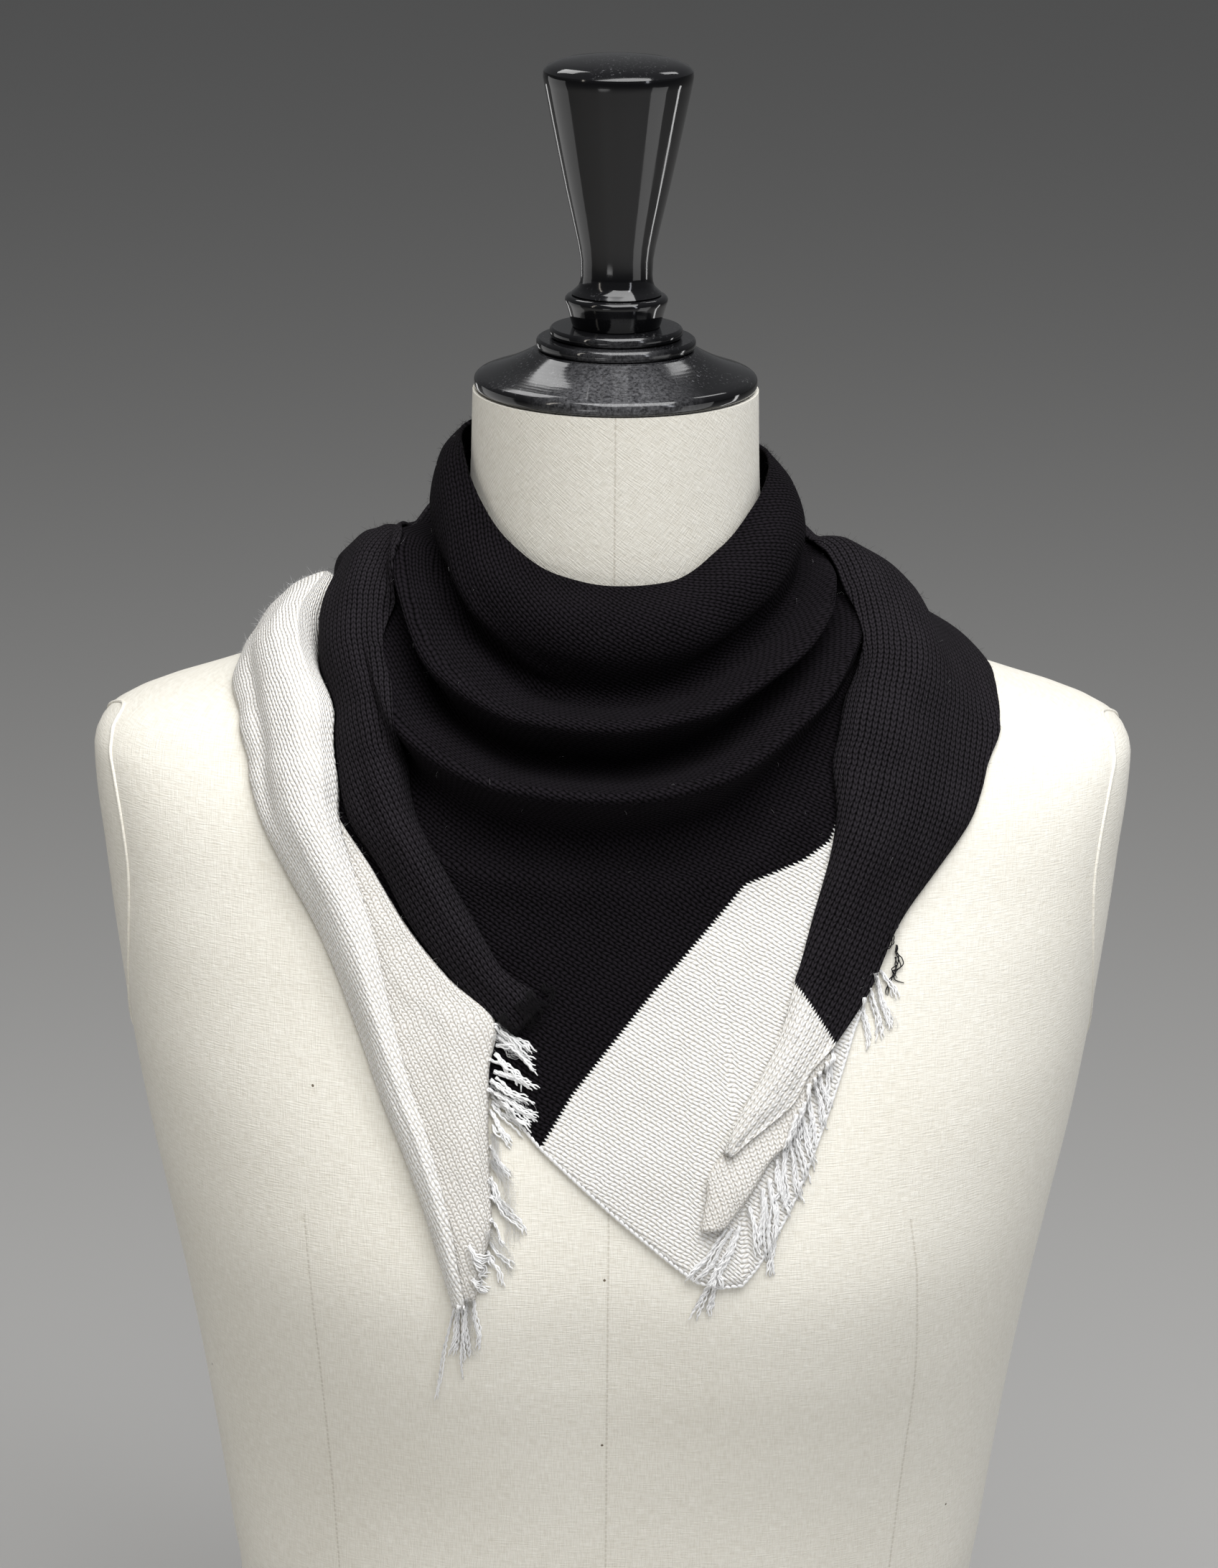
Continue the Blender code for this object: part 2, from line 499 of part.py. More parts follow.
class FrontDrape:
    """The neck roll, swags and bib: columns of cloth at angles round the neck."""

    def __init__(self, field):
        self.field = field

    def table(self, values, angle):
        return float(smooth_between(DRAPE_ANGLES, values, angle))

    def hem_height(self, angle):
        places, heights = zip(*HEM)
        return float(np.interp(angle, places, heights))

    def colour_height(self, angle):
        places, heights = zip(*COLOUR_LINE)
        return float(np.interp(angle, places, heights))

    def bib_point(self, angle, height):
        """On the flat bib: lifted at its top, resting on the form at its hem."""
        top = self.table(BIB_TOP_HEIGHTS, angle)
        hem = self.hem_height(angle)
        share = np.clip((top - height) / max(top - hem, 1.0), 0.0, 1.0)
        lift = REST_LIFT + (self.table(BIB_TOP_LIFTS, angle) - REST_LIFT) * (1 - share) ** 1.5
        place = self.field.at(angle, height)
        _, lean = self.field.nearest(place)
        return place + lean * (lift * MM)

    def fold_point(self, angle, place):
        """On the rolls: `place` counts fold lines down from the neck edge."""
        column = [cylinder_point(angle, self.table(f.radii, angle), self.table(f.heights, angle))
                  for f in FOLDS]
        column.append(self.bib_point(angle, self.table(BIB_TOP_HEIGHTS, angle)))
        return self.field.cleared(Vector(rounded_through(column, place)), REST_LIFT)

    def fold_grid(self, first, last, count, angles):
        places = np.linspace(first, last, count)
        return [[self.fold_point(a, p) for p in places] for a in angles]

    def bib_grid(self, upper, lower, count, angles):
        grid = []
        for angle in angles:
            heights = np.linspace(upper(angle), lower(angle), count)
            grid.append([self.bib_point(angle, h) for h in heights])
        return grid


def drape_angles(first, last, corners=()):
    """Evenly spaced columns, moved where a corner of the hem needs its own."""
    count = int(round((last - first) / SIDE_STEP))
    inside = [c for c in corners if first + 1.0 < c < last - 1.0]
    evenly = [first + (last - first) * k / count for k in range(1, count)]
    kept = [a for a in evenly if all(abs(a - c) > 1.6 for c in inside)]
    return sorted([first, last] + kept + inside)


def make_front_drape(field):
    """Builds the drape's stretches and returns their outer skins."""
    drape = FrontDrape(field)
    around = drape_angles(-100, 100)
    gap = SEAM / 14.0
    roll = drape.fold_grid(0.0, 3.0 - gap, 9, around)
    upper = drape.fold_grid(3.0 + gap, 5.0 - gap, 7, around)
    lower = drape.fold_grid(5.0 + gap, 8.0 - gap, 8, around)
    corners = (-11.0, 11.5, 14.0, 19.0, 21.0, 44.0)

    def bib_top(angle):
        return drape.table(BIB_TOP_HEIGHTS, angle) - SEAM

    def black_end(angle):
        if angle < COLOUR_LINE[0][0]:
            return drape.hem_height(angle)
        return drape.colour_height(angle) + SEAM

    def white_start(angle):
        if angle < COLOUR_LINE[-1][0]:
            return drape.colour_height(angle) - SEAM
        return bib_top(angle)

    black = drape.bib_grid(bib_top, black_end, 5, drape_angles(-43, 19.6, corners))
    white = drape.bib_grid(white_start, drape.hem_height, 7, drape_angles(-10.2, 62, corners))
    make_sheet("scarf_neck_roll", roll, BLACK_KNIT)
    make_sheet("scarf_upper_swag", upper, BLACK_KNIT)
    make_sheet("scarf_lower_swag", lower, BLACK_KNIT)
    make_sheet("scarf_bib_black", black, BLACK_KNIT)
    make_sheet("scarf_bib_white", white, WHITE_KNIT)
    return [roll, upper, lower, black, white]


def ribbon_grid(field, stations, along, across, under):
    """Outer skin of a ribbon laid over the form and over the cloth already there."""
    probe = 0.12
    lying = sheet_tree(under)
    count = len(stations)
    inner = [(s.inner_angle, s.inner_height) for s in stations]
    outer = [(s.outer_angle, s.outer_height) for s in stations]
    lifts = [s.lifts for s in stations]
    bases = []
    leans = []
    wanted = []
    heaped = []
    for k in range(along):
        place = k * (count - 1) / (along - 1)
        start = field.at(*rounded_through(inner, place))
        end = field.at(*rounded_through(outer, place))
        section = rounded_through(lifts, place)
        _, lean = field.nearest(start.lerp(end, 0.5))
        base_row = []
        lift_row = []
        heap_row = []
        for j in range(across):
            share = j / (across - 1)
            chord = start.lerp(end, share)
            on_form, normal = field.nearest(chord)
            above = (chord - on_form).dot(normal)
            base = chord if above > 0 else on_form
            hit, _, _, far = lying.ray_cast(base + lean * probe, -lean, probe)
            base_row.append(base)
            lift_row.append(float(smooth_between(SECTION_PLACES, section, share)))
            heap_row.append((probe - far) / MM if hit is not None else 0.0)
        bases.append(base_row)
        leans.append(lean)
        wanted.append(lift_row)
        heaped.append(heap_row)
    needed = np.array(heaped)
    needed = np.where(needed > 0, needed + REST_LIFT, REST_LIFT)
    spread = np.pad(needed, 1, mode="edge")
    windows = [spread[i:i + along, j:j + across] for i in range(3) for j in range(3)]
    highest = np.maximum.reduce(windows)
    lift = np.maximum(np.array(wanted), highest)
    return [[bases[k][j] + leans[k] * (lift[k, j] * MM) for j in range(across)]
            for k in range(along)]


def make_ribbon(name, field, stations, along, across, under, finish):
    grid = ribbon_grid(field, stations, along, across, under)
    make_sheet(name, grid, finish)
    return grid


def make_scarf(field):
    drape = make_front_drape(field)
    wrap_under = make_ribbon("scarf_nape_wrap_under", field, NAPE_WRAP_UNDER, 18, 9, drape, BLACK_KNIT)
    right_black = make_ribbon("scarf_right_tail_black", field, RIGHT_TAIL_BLACK, 26, 9,
                              drape, BLACK_KNIT)
    wrap_over = make_ribbon("scarf_nape_wrap_over", field, NAPE_WRAP_OVER, 18, 9,
                            drape + [wrap_under, right_black], BLACK_KNIT)
    right_reverse = make_ribbon("scarf_right_tail_reverse", field, RIGHT_TAIL_REVERSE, 10, 5,
                                drape, WHITE_KNIT)
    make_ribbon("scarf_right_tail_white", field, RIGHT_TAIL_WHITE, 9, 6,
                drape + [right_reverse], WHITE_KNIT)
    left_reverse = make_ribbon("scarf_left_tail_reverse", field, LEFT_TAIL_REVERSE, 16, 6,
                               drape, WHITE_KNIT)
    left_white = make_ribbon("scarf_left_tail_white", field, LEFT_TAIL_WHITE, 30, 8,
                             drape + [left_reverse], WHITE_KNIT)
    left_black = make_ribbon("scarf_left_tail_black", field, LEFT_TAIL_BLACK, 26, 8,
                             drape + [wrap_under], BLACK_KNIT)
    laid = drape + [wrap_over, left_white, left_black]
    make_ribbon("fringe_left_edge", field, LEFT_FRINGE, 8, 3, laid, WHITE_KNIT)
    make_ribbon("fringe_left_tip", field, LEFT_TIP_FRINGE, 5, 3, laid, WHITE_KNIT)
    make_ribbon("fringe_right_edge", field, RIGHT_FRINGE, 7, 3, drape, WHITE_KNIT)
    make_ribbon("fringe_right_tip", field, RIGHT_TIP_FRINGE, 4, 3, drape, WHITE_KNIT)
    make_ribbon("fringe_right_tuft", field, RIGHT_TUFT, 3, 3, drape, WHITE_KNIT)


def main():
    remove_all_objects()
    make_form()
    make_cap()
    make_scarf(ClothField())


main()
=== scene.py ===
"""A knitted cashmere scarf, black with white ends, wound on a limbless linen dress form.

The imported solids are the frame. Every cloth solid is replaced by a thin knitted shell
on the same form, and the linen bust and the turned handle by finer ones. Positions are
metres, +Z up, with the chest towards -Y; the tables are millimetres and degrees, where
an angle goes round the neck's axis from the front (0) to +X (90).
"""

import logging
import math
from dataclasses import dataclass, field
from enum import Enum
from typing import Callable, NamedTuple, Sequence

import bmesh
import bpy
import numpy as np
from bpy.types import Material, Node, NodeSocket, Object
from mathutils import Matrix, Vector, noise
from mathutils.bvhtree import BVHTree
from mathutils.interpolate import poly_3d_calc


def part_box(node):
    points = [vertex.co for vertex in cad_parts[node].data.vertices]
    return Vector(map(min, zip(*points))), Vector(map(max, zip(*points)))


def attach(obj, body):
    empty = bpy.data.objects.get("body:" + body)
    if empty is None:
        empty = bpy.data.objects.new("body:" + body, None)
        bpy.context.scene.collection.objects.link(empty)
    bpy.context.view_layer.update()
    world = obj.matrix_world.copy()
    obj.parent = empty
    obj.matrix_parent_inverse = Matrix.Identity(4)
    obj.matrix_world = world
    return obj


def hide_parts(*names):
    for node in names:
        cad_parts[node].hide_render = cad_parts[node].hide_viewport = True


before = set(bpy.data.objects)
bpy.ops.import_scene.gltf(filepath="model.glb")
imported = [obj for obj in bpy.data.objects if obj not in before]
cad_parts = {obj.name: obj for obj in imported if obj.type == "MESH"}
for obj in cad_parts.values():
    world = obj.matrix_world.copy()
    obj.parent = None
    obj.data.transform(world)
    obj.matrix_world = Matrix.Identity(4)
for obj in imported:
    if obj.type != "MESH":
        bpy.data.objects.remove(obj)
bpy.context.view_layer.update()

LOG = logging.getLogger("scarf")
MM = 0.001
Array = np.ndarray


# ---- curves and tables ----

def smooth_between(places: Sequence[float], values: Array, at: Array) -> Array:
    """Reads a table with a smooth curve that never overshoots its rows.

    Args:
        places: the rows' places, rising.
        values: one value, or one row of values, for each place.
        at: the places to read, kept inside the table.

    Returns:
        The value, or row of values, at each place.
    """
    places = np.asarray(places, float)
    values = np.asarray(values, float)
    at = np.clip(np.asarray(at, float), places[0], places[-1])
    widths = np.diff(places)
    shape = (-1,) + (1,) * (values.ndim - 1)
    rises = np.diff(values, axis=0) / widths.reshape(shape)
    slopes = np.zeros_like(values)
    slopes[0], slopes[-1] = rises[0], rises[-1]
    before, after = rises[:-1], rises[1:]
    total = np.where(before + after == 0.0, 1.0, before + after)
    slopes[1:-1] = np.where(before * after > 0.0, 2.0 * before * after / total, 0.0)
    step = np.clip(np.searchsorted(places, at) - 1, 0, len(places) - 2)
    wide = (at.shape if at.ndim else ()) + (1,) * (values.ndim - 1)
    width = widths[step].reshape(wide)
    t = ((at - places[step]) / widths[step]).reshape(wide)
    return ((2 * t**3 - 3 * t**2 + 1) * values[step] + (t**3 - 2 * t**2 + t) * width * slopes[step]
            + (3 * t**2 - 2 * t**3) * values[step + 1] + (t**3 - t**2) * width * slopes[step + 1])


def rounded_through(points: Array, at: Array) -> Array:
    """Reads a Catmull-Rom curve through evenly numbered rows.

    Args:
        points: one row of values for each whole number.
        at: where to read, as row numbers and parts of one.

    Returns:
        The row of values at each place.
    """
    points = np.asarray(points, float)
    last = len(points) - 1
    step = np.clip(np.floor(at).astype(int), 0, last - 1)
    t = (np.asarray(at, float) - step)[:, None]
    p1, p2 = points[step], points[step + 1]
    p0 = np.where(step[:, None] > 0, points[np.maximum(step - 1, 0)], 2 * p1 - p2)
    p3 = np.where(step[:, None] + 2 <= last, points[np.minimum(step + 2, last)], 2 * p2 - p1)
    return 0.5 * (2 * p1 + (p2 - p0) * t + (2 * p0 - 5 * p1 + 4 * p2 - p3) * t**2
                  + (3 * p1 - p0 - 3 * p2 + p3) * t**3)


def eased(share: Array) -> Array:
    """A share from 0 to 1 with soft ends."""
    share = np.clip(share, 0.0, 1.0)
    return share * share * (3.0 - 2.0 * share)


def run_lengths(points: Array, axis: int = 0) -> Array:
    """Distance run along a line of places, or along one axis of a grid, from 0 at its start."""
    steps = np.linalg.norm(np.diff(points, axis=axis), axis=-1)
    return np.insert(np.cumsum(steps, axis=axis), 0, 0.0, axis=axis)


def grid_area(points: Array) -> float:
    """Area of a flat or curved grid of places, as the sum of its cells' parallelograms."""
    one, other = np.diff(points, axis=0)[:, :-1], np.diff(points, axis=1)[:-1]
    if points.shape[-1] == 2:
        return float(np.abs(one[..., 0] * other[..., 1] - one[..., 1] * other[..., 0]).sum())
    return float(np.linalg.norm(np.cross(one, other), axis=-1).sum())


def outward_sign(points: Array) -> float:
    """1 where a grid's columns and rows turn outwards from the neck's axis, and -1 elsewhere."""
    i, j = points.shape[0] // 2, points.shape[1] // 2
    lean = np.cross(points[i, j + 1] - points[i, j], points[i + 1, j] - points[i, j])
    outward = np.array((points[i, j, 0], points[i, j, 1] - NECK_AXIS_Y * MM, 0.02))
    return 1.0 if lean @ outward > 0 else -1.0


def turned(degrees: float) -> Array:
    """The matrix that turns flat places by an angle."""
    turn = math.radians(degrees)
    return np.array(((math.cos(turn), -math.sin(turn)), (math.sin(turn), math.cos(turn))))


def spread(values: Array, steps: tuple[int, int], gather: Callable) -> Array:
    """Runs a filter such as a maximum or mean over each value's neighbours.

    Args:
        values: a grid of numbers.
        steps: how many neighbours on each side, along the rows and across them.
        gather: numpy's function that joins the neighbours.

    Returns:
        A grid of the same size.
    """
    for axis, reach in enumerate(steps):
        if reach < 1:
            continue
        pad = [(0, 0), (0, 0)]
        pad[axis] = (reach, reach)
        wide = np.pad(values, pad, mode="edge")
        size = values.shape[axis]
        shifted = [np.take(wide, range(k, k + size), axis=axis) for k in range(2 * reach + 1)]
        values = gather(shifted, axis=0)
    return values


# ---- the form's table ----

class FormRow(NamedTuple):
    """One level of the bust: half its width, its depths to front and back, its squareness."""

    height: float
    half_width: float
    front: float
    back: float
    squareness: float
    centre_y: float


NECK_TOP = 659.7
NECK_AXIS_Y = 9.0         # the scarf is wound round this axis, at x = 0
NECK_BIAS = 584.0         # above this height the linen is cut on the bias
BUST_SIDE = 94.0          # each breast's place to the side, its height, its spread and its rise
BUST_HEIGHT = 345.0
BUST_SPREAD = 47.0
BUST_RISE = 9.0
FORM_ROWS = tuple(FormRow(*row) for row in (
    (0.0, 157.0, 104.0, 118.0, 2.35, 4.0),
    (30.0, 158.5, 106.0, 120.0, 2.35, 4.0),
    (70.0, 157.0, 106.0, 118.0, 2.35, 4.0),
    (120.0, 149.0, 103.0, 108.0, 2.30, 4.0),
    (165.0, 142.5, 102.0, 96.0, 2.25, 4.0),
    (190.0, 143.0, 103.0, 91.0, 2.25, 4.0),
    (215.0, 146.3, 106.0, 89.0, 2.30, 4.0),
    (250.0, 151.0, 112.0, 89.0, 2.30, 4.0),
    (285.0, 156.0, 120.0, 91.0, 2.35, 4.0),
    (320.0, 161.7, 128.0, 94.0, 2.40, 4.0),
    (355.0, 168.5, 132.0, 98.0, 2.45, 4.0),
    (391.0, 176.0, 128.0, 102.0, 2.50, 4.0),
    (426.0, 181.8, 119.0, 104.0, 2.60, 4.0),
    (460.0, 186.7, 107.0, 104.0, 2.60, 4.0),
    (490.0, 190.5, 95.0, 101.0, 2.60, 5.0),
    (512.0, 193.5, 86.0, 96.0, 2.50, 6.0),
    (524.0, 194.3, 79.0, 91.0, 2.40, 7.0),
    (531.5, 191.5, 74.5, 87.0, 2.30, 8.0),
    (537.8, 182.0, 71.5, 84.0, 2.20, 8.0),
    (543.8, 163.0, 69.0, 81.0, 2.15, 9.0),
    (551.0, 140.0, 66.0, 77.0, 2.10, 10.0),
    (560.0, 115.0, 63.0, 72.0, 2.05, 10.0),
    (569.5, 91.0, 59.5, 66.0, 2.00, 10.0),
    (579.0, 73.5, 56.5, 61.0, 2.00, 10.0),
    (588.0, 63.0, 54.0, 56.0, 2.00, 9.0),
    (600.0, 57.0, 52.5, 53.0, 2.00, 7.0),
    (625.0, 53.5, 52.0, 52.0, 2.00, 4.0),
    (NECK_TOP, 52.5, 51.5, 51.5, 2.00, 0.0),
))

DART_TOP = 380.0
DARTS = ((225.0, 100.0, 107.0), (268.0, 102.0, 110.0), (320.0, 105.0, 113.0), (356.0, 108.0, 112.0),
         (380.0, 110.0, 109.0))      # height, and how far out the left and the right dart run

# ---- the cloth's tables ----

WALL = 1.5                # two-ply cashmere in stocking stitch, after steaming
REST_LIFT = 2.1           # outer skin above what the cloth rests on
LAYER_GAP = 0.35          # air between one layer and the next
DRAPE_ANGLES = (-100, -80, -60, -40, -20, 0, 20, 40, 60, 80, 100)


class Fold(NamedTuple):
    """A fold line of the drape: its radius from the neck's axis and its height."""

    name: str
    radii: tuple[float, ...]
    heights: tuple[float, ...]


FOLDS = (
    Fold("neck edge",
         (57.6, 58.0, 59.2, 59.8, 59.8, 59.8, 59.8, 59.8, 59.2, 58.0, 57.6),
         (642, 640, 627, 611, 601, 598, 599, 609, 622, 630, 633)),
    Fold("roll top",
         (64, 65.5, 69, 73, 74, 73, 74, 73, 71, 67.5, 65),
         (634, 632, 618, 601.5, 591.5, 588.5, 590.5, 600.5, 613.5, 621.5, 624)),
    Fold("roll crest",
         (67, 69, 73, 76.5, 76.5, 75.5, 76.5, 76.5, 75, 72, 69),
         (619, 616, 604.5, 588, 578.5, 575.5, 578.5, 589, 600.5, 608, 611)),
    Fold("first valley",
         (66, 67, 68, 69, 68, 66.5, 67, 69, 70, 69, 67),
         (604, 602.5, 591.5, 572.5, 560, 557.5, 561, 572, 583, 592, 597)),
    Fold("upper swag crest",
         (75, 81, 91, 99, 98, 95, 96, 96.5, 92, 82, 75),
         (603, 605, 592, 569.5, 557, 554.5, 559, 572, 585, 594, 597)),
    Fold("second valley",
         (77, 79, 82, 85, 80, 76.5, 77, 80, 82, 80, 76),
         (596, 595.5, 577, 549.5, 536.5, 534, 539.5, 557, 573, 585, 590)),
    Fold("lower swag crest",
         (84, 90, 103.5, 114.5, 112, 109, 110, 109, 102, 92, 84),
         (592, 593.5, 575, 548.5, 535, 532.5, 538, 556, 572.5, 583.5, 587.5)),
    Fold("swag underside",
         (85, 88.5, 98, 104, 95, 91, 93, 98, 99, 93, 86),
         (583, 583, 561.5, 529, 517, 515, 519, 539, 561, 576, 581)),
)
BIB_TOP_LIFTS = (4, 5, 6, 6, 5.5, 5, 5.5, 6, 6, 5, 4)
BIB_TOP_HEIGHTS = (578, 572, 542, 506, 497, 496.5, 499, 519, 549, 571, 577)
HEM = ((-100, 576.0), (-80, 568.0), (-70, 555.0), (-60, 538.0), (-50, 512.0), (-40, 485.0),
       (-30, 456.0), (-20, 431.0), (-11, 409.0), (0, 386.5), (11, 365.0), (13, 361.5), (16, 359.6),
       (19, 360.6), (21, 367.0), (25.5, 386.0), (31, 413.0), (38, 447.0), (44, 472.0),
       (50, 500.0), (60, 534.0), (70, 555.0), (80, 567.0), (100, 574.0))
# The knitted-in line between black and white: it kinks where the bib turns under the swag.
COLOUR_LINE = ((-16, 391.0), (-11, 409.0), (-6, 427.0), (0, 443.5), (7, 463.0), (13.5, 480.0), (20.5, 498.5),
               (31.0, 506.0), (36.5, 512.0), (40.5, 526.0), (46.0, 548.0))


class Station(NamedTuple):
    """A cross-section of a ribbon of cloth: the place on the form under each edge, and the
    outer skin's lift above the form at SECTION_PLACES from the inner edge to the outer."""

    inner_angle: float
    inner_height: float
    outer_angle: float
    outer_height: float
    lifts: tuple[float, ...]


def stations(*rows: tuple) -> tuple[Station, ...]:
    """Names the numbers of a ribbon's table."""
    return tuple(Station(*row) for row in rows)


SECTION_PLACES = (0.0, 0.15, 0.35, 0.5, 0.65, 0.85, 1.0)
# From the drape's left end, behind the nape, over the right shoulder, to the end's tip.
UNDER_WRAP = stations(
    (-101, 642, -101.5, 589, (4, 7, 9, 12, 15, 17, 18)),
    (-125, 646, -126, 579, (4, 11, 14, 12, 14, 12, 8)),
    (-152, 645, -152, 570.7, (4, 12, 15, 12, 15, 12, 4)),
    (-178, 638, -178, 565.9, (4, 12, 15, 11, 15, 12, 4)),
    (-205, 626, -206, 560, (4, 12, 15, 11, 14, 11, 4)),
    (-222, 613, -224, 554.9, (4, 11, 14, 12, 13, 10, 4)),
)
RIGHT_TAIL = stations(
    (-238, 597, -237, 551, (7, 13.1, 15.2, 13.4, 11.6, 8.5, 4)),
    (-253, 586, -251, 551, (12, 17.1, 17.5, 14.9, 10.4, 9.2, 4)),
    (-270, 582, -269, 550.8, (20, 24.2, 22.8, 18.5, 10.2, 7, 3.2)),
    (-284, 571.9, -278, 548.6, (18.1, 21.4, 20.9, 17.4, 11, 6, 2.8)),
    (-294, 561.3, -285.4, 543, (15.1, 18.3, 18.7, 15.6, 10, 4.6, 2.4)),
    (-303.5, 550.2, -291, 535.4, (13, 15.1, 15.2, 12.4, 8.4, 4.2, 2.5)),
    (-311, 536, -294.8, 527, (12, 14, 13.6, 11.4, 8.6, 5.2, 3.2)),
    (-316, 517, -299.5, 514.2, (11, 13, 13, 11, 9, 6.4, 4)),
    (-320, 501, -306.5, 497, (10, 12, 12, 10, 8, 6, 4)),
    (-324, 485, -313, 480, (8, 10, 10, 9, 8, 6, 4)),
    (-327.5, 470, -319, 459, (7, 9, 9, 8, 7.5, 6, 5)),
    (-329, 463.7, -325, 442.7, (6.5, 8.5, 9, 8.5, 8, 7, 6)),
    (-332, 448, -329, 434, (6.5, 9, 10, 10, 9.5, 8.5, 7)),
    (-336, 433, -332, 424, (6.5, 9, 10, 10, 9.5, 8.5, 7)),
    (-339, 423, -335, 418, (6.5, 8.5, 9.5, 9.5, 9, 8, 7)),
    (-341.5, 413, -339, 411, (6.5, 8, 8.5, 8.5, 8, 7.5, 7)),
    (-342.7, 407, -341.5, 406, (6, 6.5, 7, 7, 6.5, 6.5, 6)),
)
RIGHT_COLOUR_STATION = len(UNDER_WRAP) + 11
RIGHT_REVERSE = stations(
    (33.5, 440, 35, 438.5, (5, 5, 5, 5, 5, 5, 5)),
    (26.5, 431, 31.5, 431, (5, 5.5, 6, 6, 6, 6, 6)),
    (20.6, 415, 27.4, 413, (5, 5.5, 6, 6, 6, 6, 6)),
    (15.2, 400.5, 23.8, 404, (5, 5.5, 6, 6.5, 6.5, 6.5, 6)),
    (14.5, 392, 21, 394, (5, 6, 6.5, 7, 7, 6.5, 6)),
    (13.5, 380, 17, 381, (5, 5.5, 6, 6.5, 6.5, 6, 6)),
)
# From the drape's right end, behind the nape over the first, down the left shoulder.
OVER_WRAP = stations(
    (101, 633, 101.5, 594, (4, 7, 9, 9, 9, 8, 7)),
    (125, 640, 126, 592, (4, 9, 11, 10, 10, 8, 6)),
    (152, 644, 152, 584, (4, 12, 14, 11, 13, 11, 6)),
    (178, 639, 178, 573.1, (5, 13, 16, 12, 16, 13, 7)),
    (205, 625, 206, 561.2, (5, 14, 17, 13, 16, 12, 5)),
    (222, 611, 224, 556.1, (5, 14, 17, 15, 14, 12, 8)),
)
LEFT_TAIL = stations(
    (238, 595, 238, 557.8, (8, 16, 18.2, 18.3, 16.5, 14.4, 12)),
    (253, 584, 253, 561.2, (15, 22.1, 24.4, 23.7, 22, 18.9, 16)),
    (269, 584, 269, 567.8, (15, 26.6, 29.4, 28.7, 27, 24.9, 21)),
    (284, 581.5, 278, 563, (14, 24, 27.5, 26.8, 24.1, 20.9, 18)),
    (299, 562.2, 289, 555.6, (16, 22.1, 23.3, 22.5, 20.7, 17.5, 15)),
    (307, 549, 299.5, 544.4, (13, 19, 20, 19, 17.1, 15.1, 13)),
    (313.5, 534, 305.5, 528.9, (12, 17, 18, 17, 15, 13, 11)),
    (320, 517, 311, 514, (11, 15, 16, 15, 13, 12, 10)),
    (327.5, 500, 317.5, 500, (10, 13, 14, 13, 12, 10, 9)),
    (334.5, 483, 324, 482, (9, 12, 12, 11, 10, 9, 8)),
    (340.5, 468, 332, 465, (8, 10, 10, 10, 9, 8, 7.5)),
    (346, 461, 340.5, 451, (7, 8, 8.5, 8, 7.5, 7, 7)),
    (347.6, 455, 344, 446.5, (5.5, 6, 6.5, 6.5, 6, 5.5, 5.5)),
)
LEFT_WHITE = stations(
    (223.5, 557.2, 223.5, 555.5, (8, 8, 8, 8, 7, 6, 4)),
    (238, 557.8, 238, 547.9, (12.1, 12.3, 11.5, 10.7, 8.9, 6.6, 4)),
    (253, 561.2, 253, 548.9, (16.2, 17.7, 17.2, 14.7, 12, 7.5, 4)),
    (269, 567.8, 269, 551.3, (21.2, 22.2, 21.5, 19.2, 15.8, 8.1, 4)),
    (278, 563, 278, 548.9, (18.2, 20.7, 20.4, 17.9, 14.4, 7.7, 4)),
    (289, 555.6, 287, 543.2, (15.2, 18.6, 19, 17.3, 13.6, 7.1, 4)),
    (299.5, 544.4, 293, 534, (13, 16.1, 18.3, 16.4, 13.5, 7.4, 4)),
    (305.5, 528.9, 297, 523.3, (11, 15, 17, 16, 13.1, 7.1, 4)),
    (309.5, 516, 300.5, 513, (9, 14, 16, 15, 12, 7, 4)),
    (314.5, 499, 306.5, 495, (9, 13, 15, 14, 11, 7, 4)),
    (320.5, 476, 314, 472, (9, 12, 14, 13, 11, 7, 4)),
    (325.5, 451, 320.5, 447, (8.5, 11, 13, 12, 10, 6, 4)),
    (330, 428, 326, 423, (8.5, 10, 11, 10, 9, 6, 4)),
    (334, 408, 331, 401, (8, 9, 10, 9, 8, 6, 4)),
    (337.5, 383, 335, 378, (7.5, 8, 8.5, 8, 7, 5.5, 4)),
    (339.4, 361, 337.6, 358, (6, 6.5, 6.5, 6, 5.5, 4.5, 4)),
    (340, 353, 338.2, 351, (5, 5, 5, 5, 5, 4.5, 4)),
)
LEFT_SHARED_STATIONS = 8
LEFT_REVERSE = stations(
    (-50.5, 515, -53, 514, (5, 5, 5, 5, 5, 5, 5)),
    (-44.0, 501, -48.5, 499, (6, 6, 6, 6, 5.5, 5, 5)),
    (-36, 481, -43.5, 476, (7, 7, 7, 6.5, 6, 5.5, 5)),
    (-27.5, 464, -39.5, 457, (6.5, 7, 7, 7, 6, 5.5, 5)),
    (-19.6, 451, -37.5, 446, (6, 7, 8, 7, 6.5, 5.5, 5)),
    (-19.4, 434, -34.5, 432, (6, 7, 8, 7, 6.5, 5.5, 5)),
    (-18.5, 413, -30.5, 412, (6, 7, 7.5, 7, 6, 5.5, 5)),
    (-17.5, 395, -27.2, 395, (5, 6, 6.5, 6, 5.5, 5, 4)),
    (-17, 380, -24.5, 380, (5, 6, 6, 6, 5.5, 5, 4)),
    (-18, 366, -22.6, 366, (4.5, 5, 5, 5, 4.5, 4, 4)),
    (-18.6, 355, -21.0, 354, (4, 4, 4, 4, 4, 4, 4)),
)


# ---- finishes ----

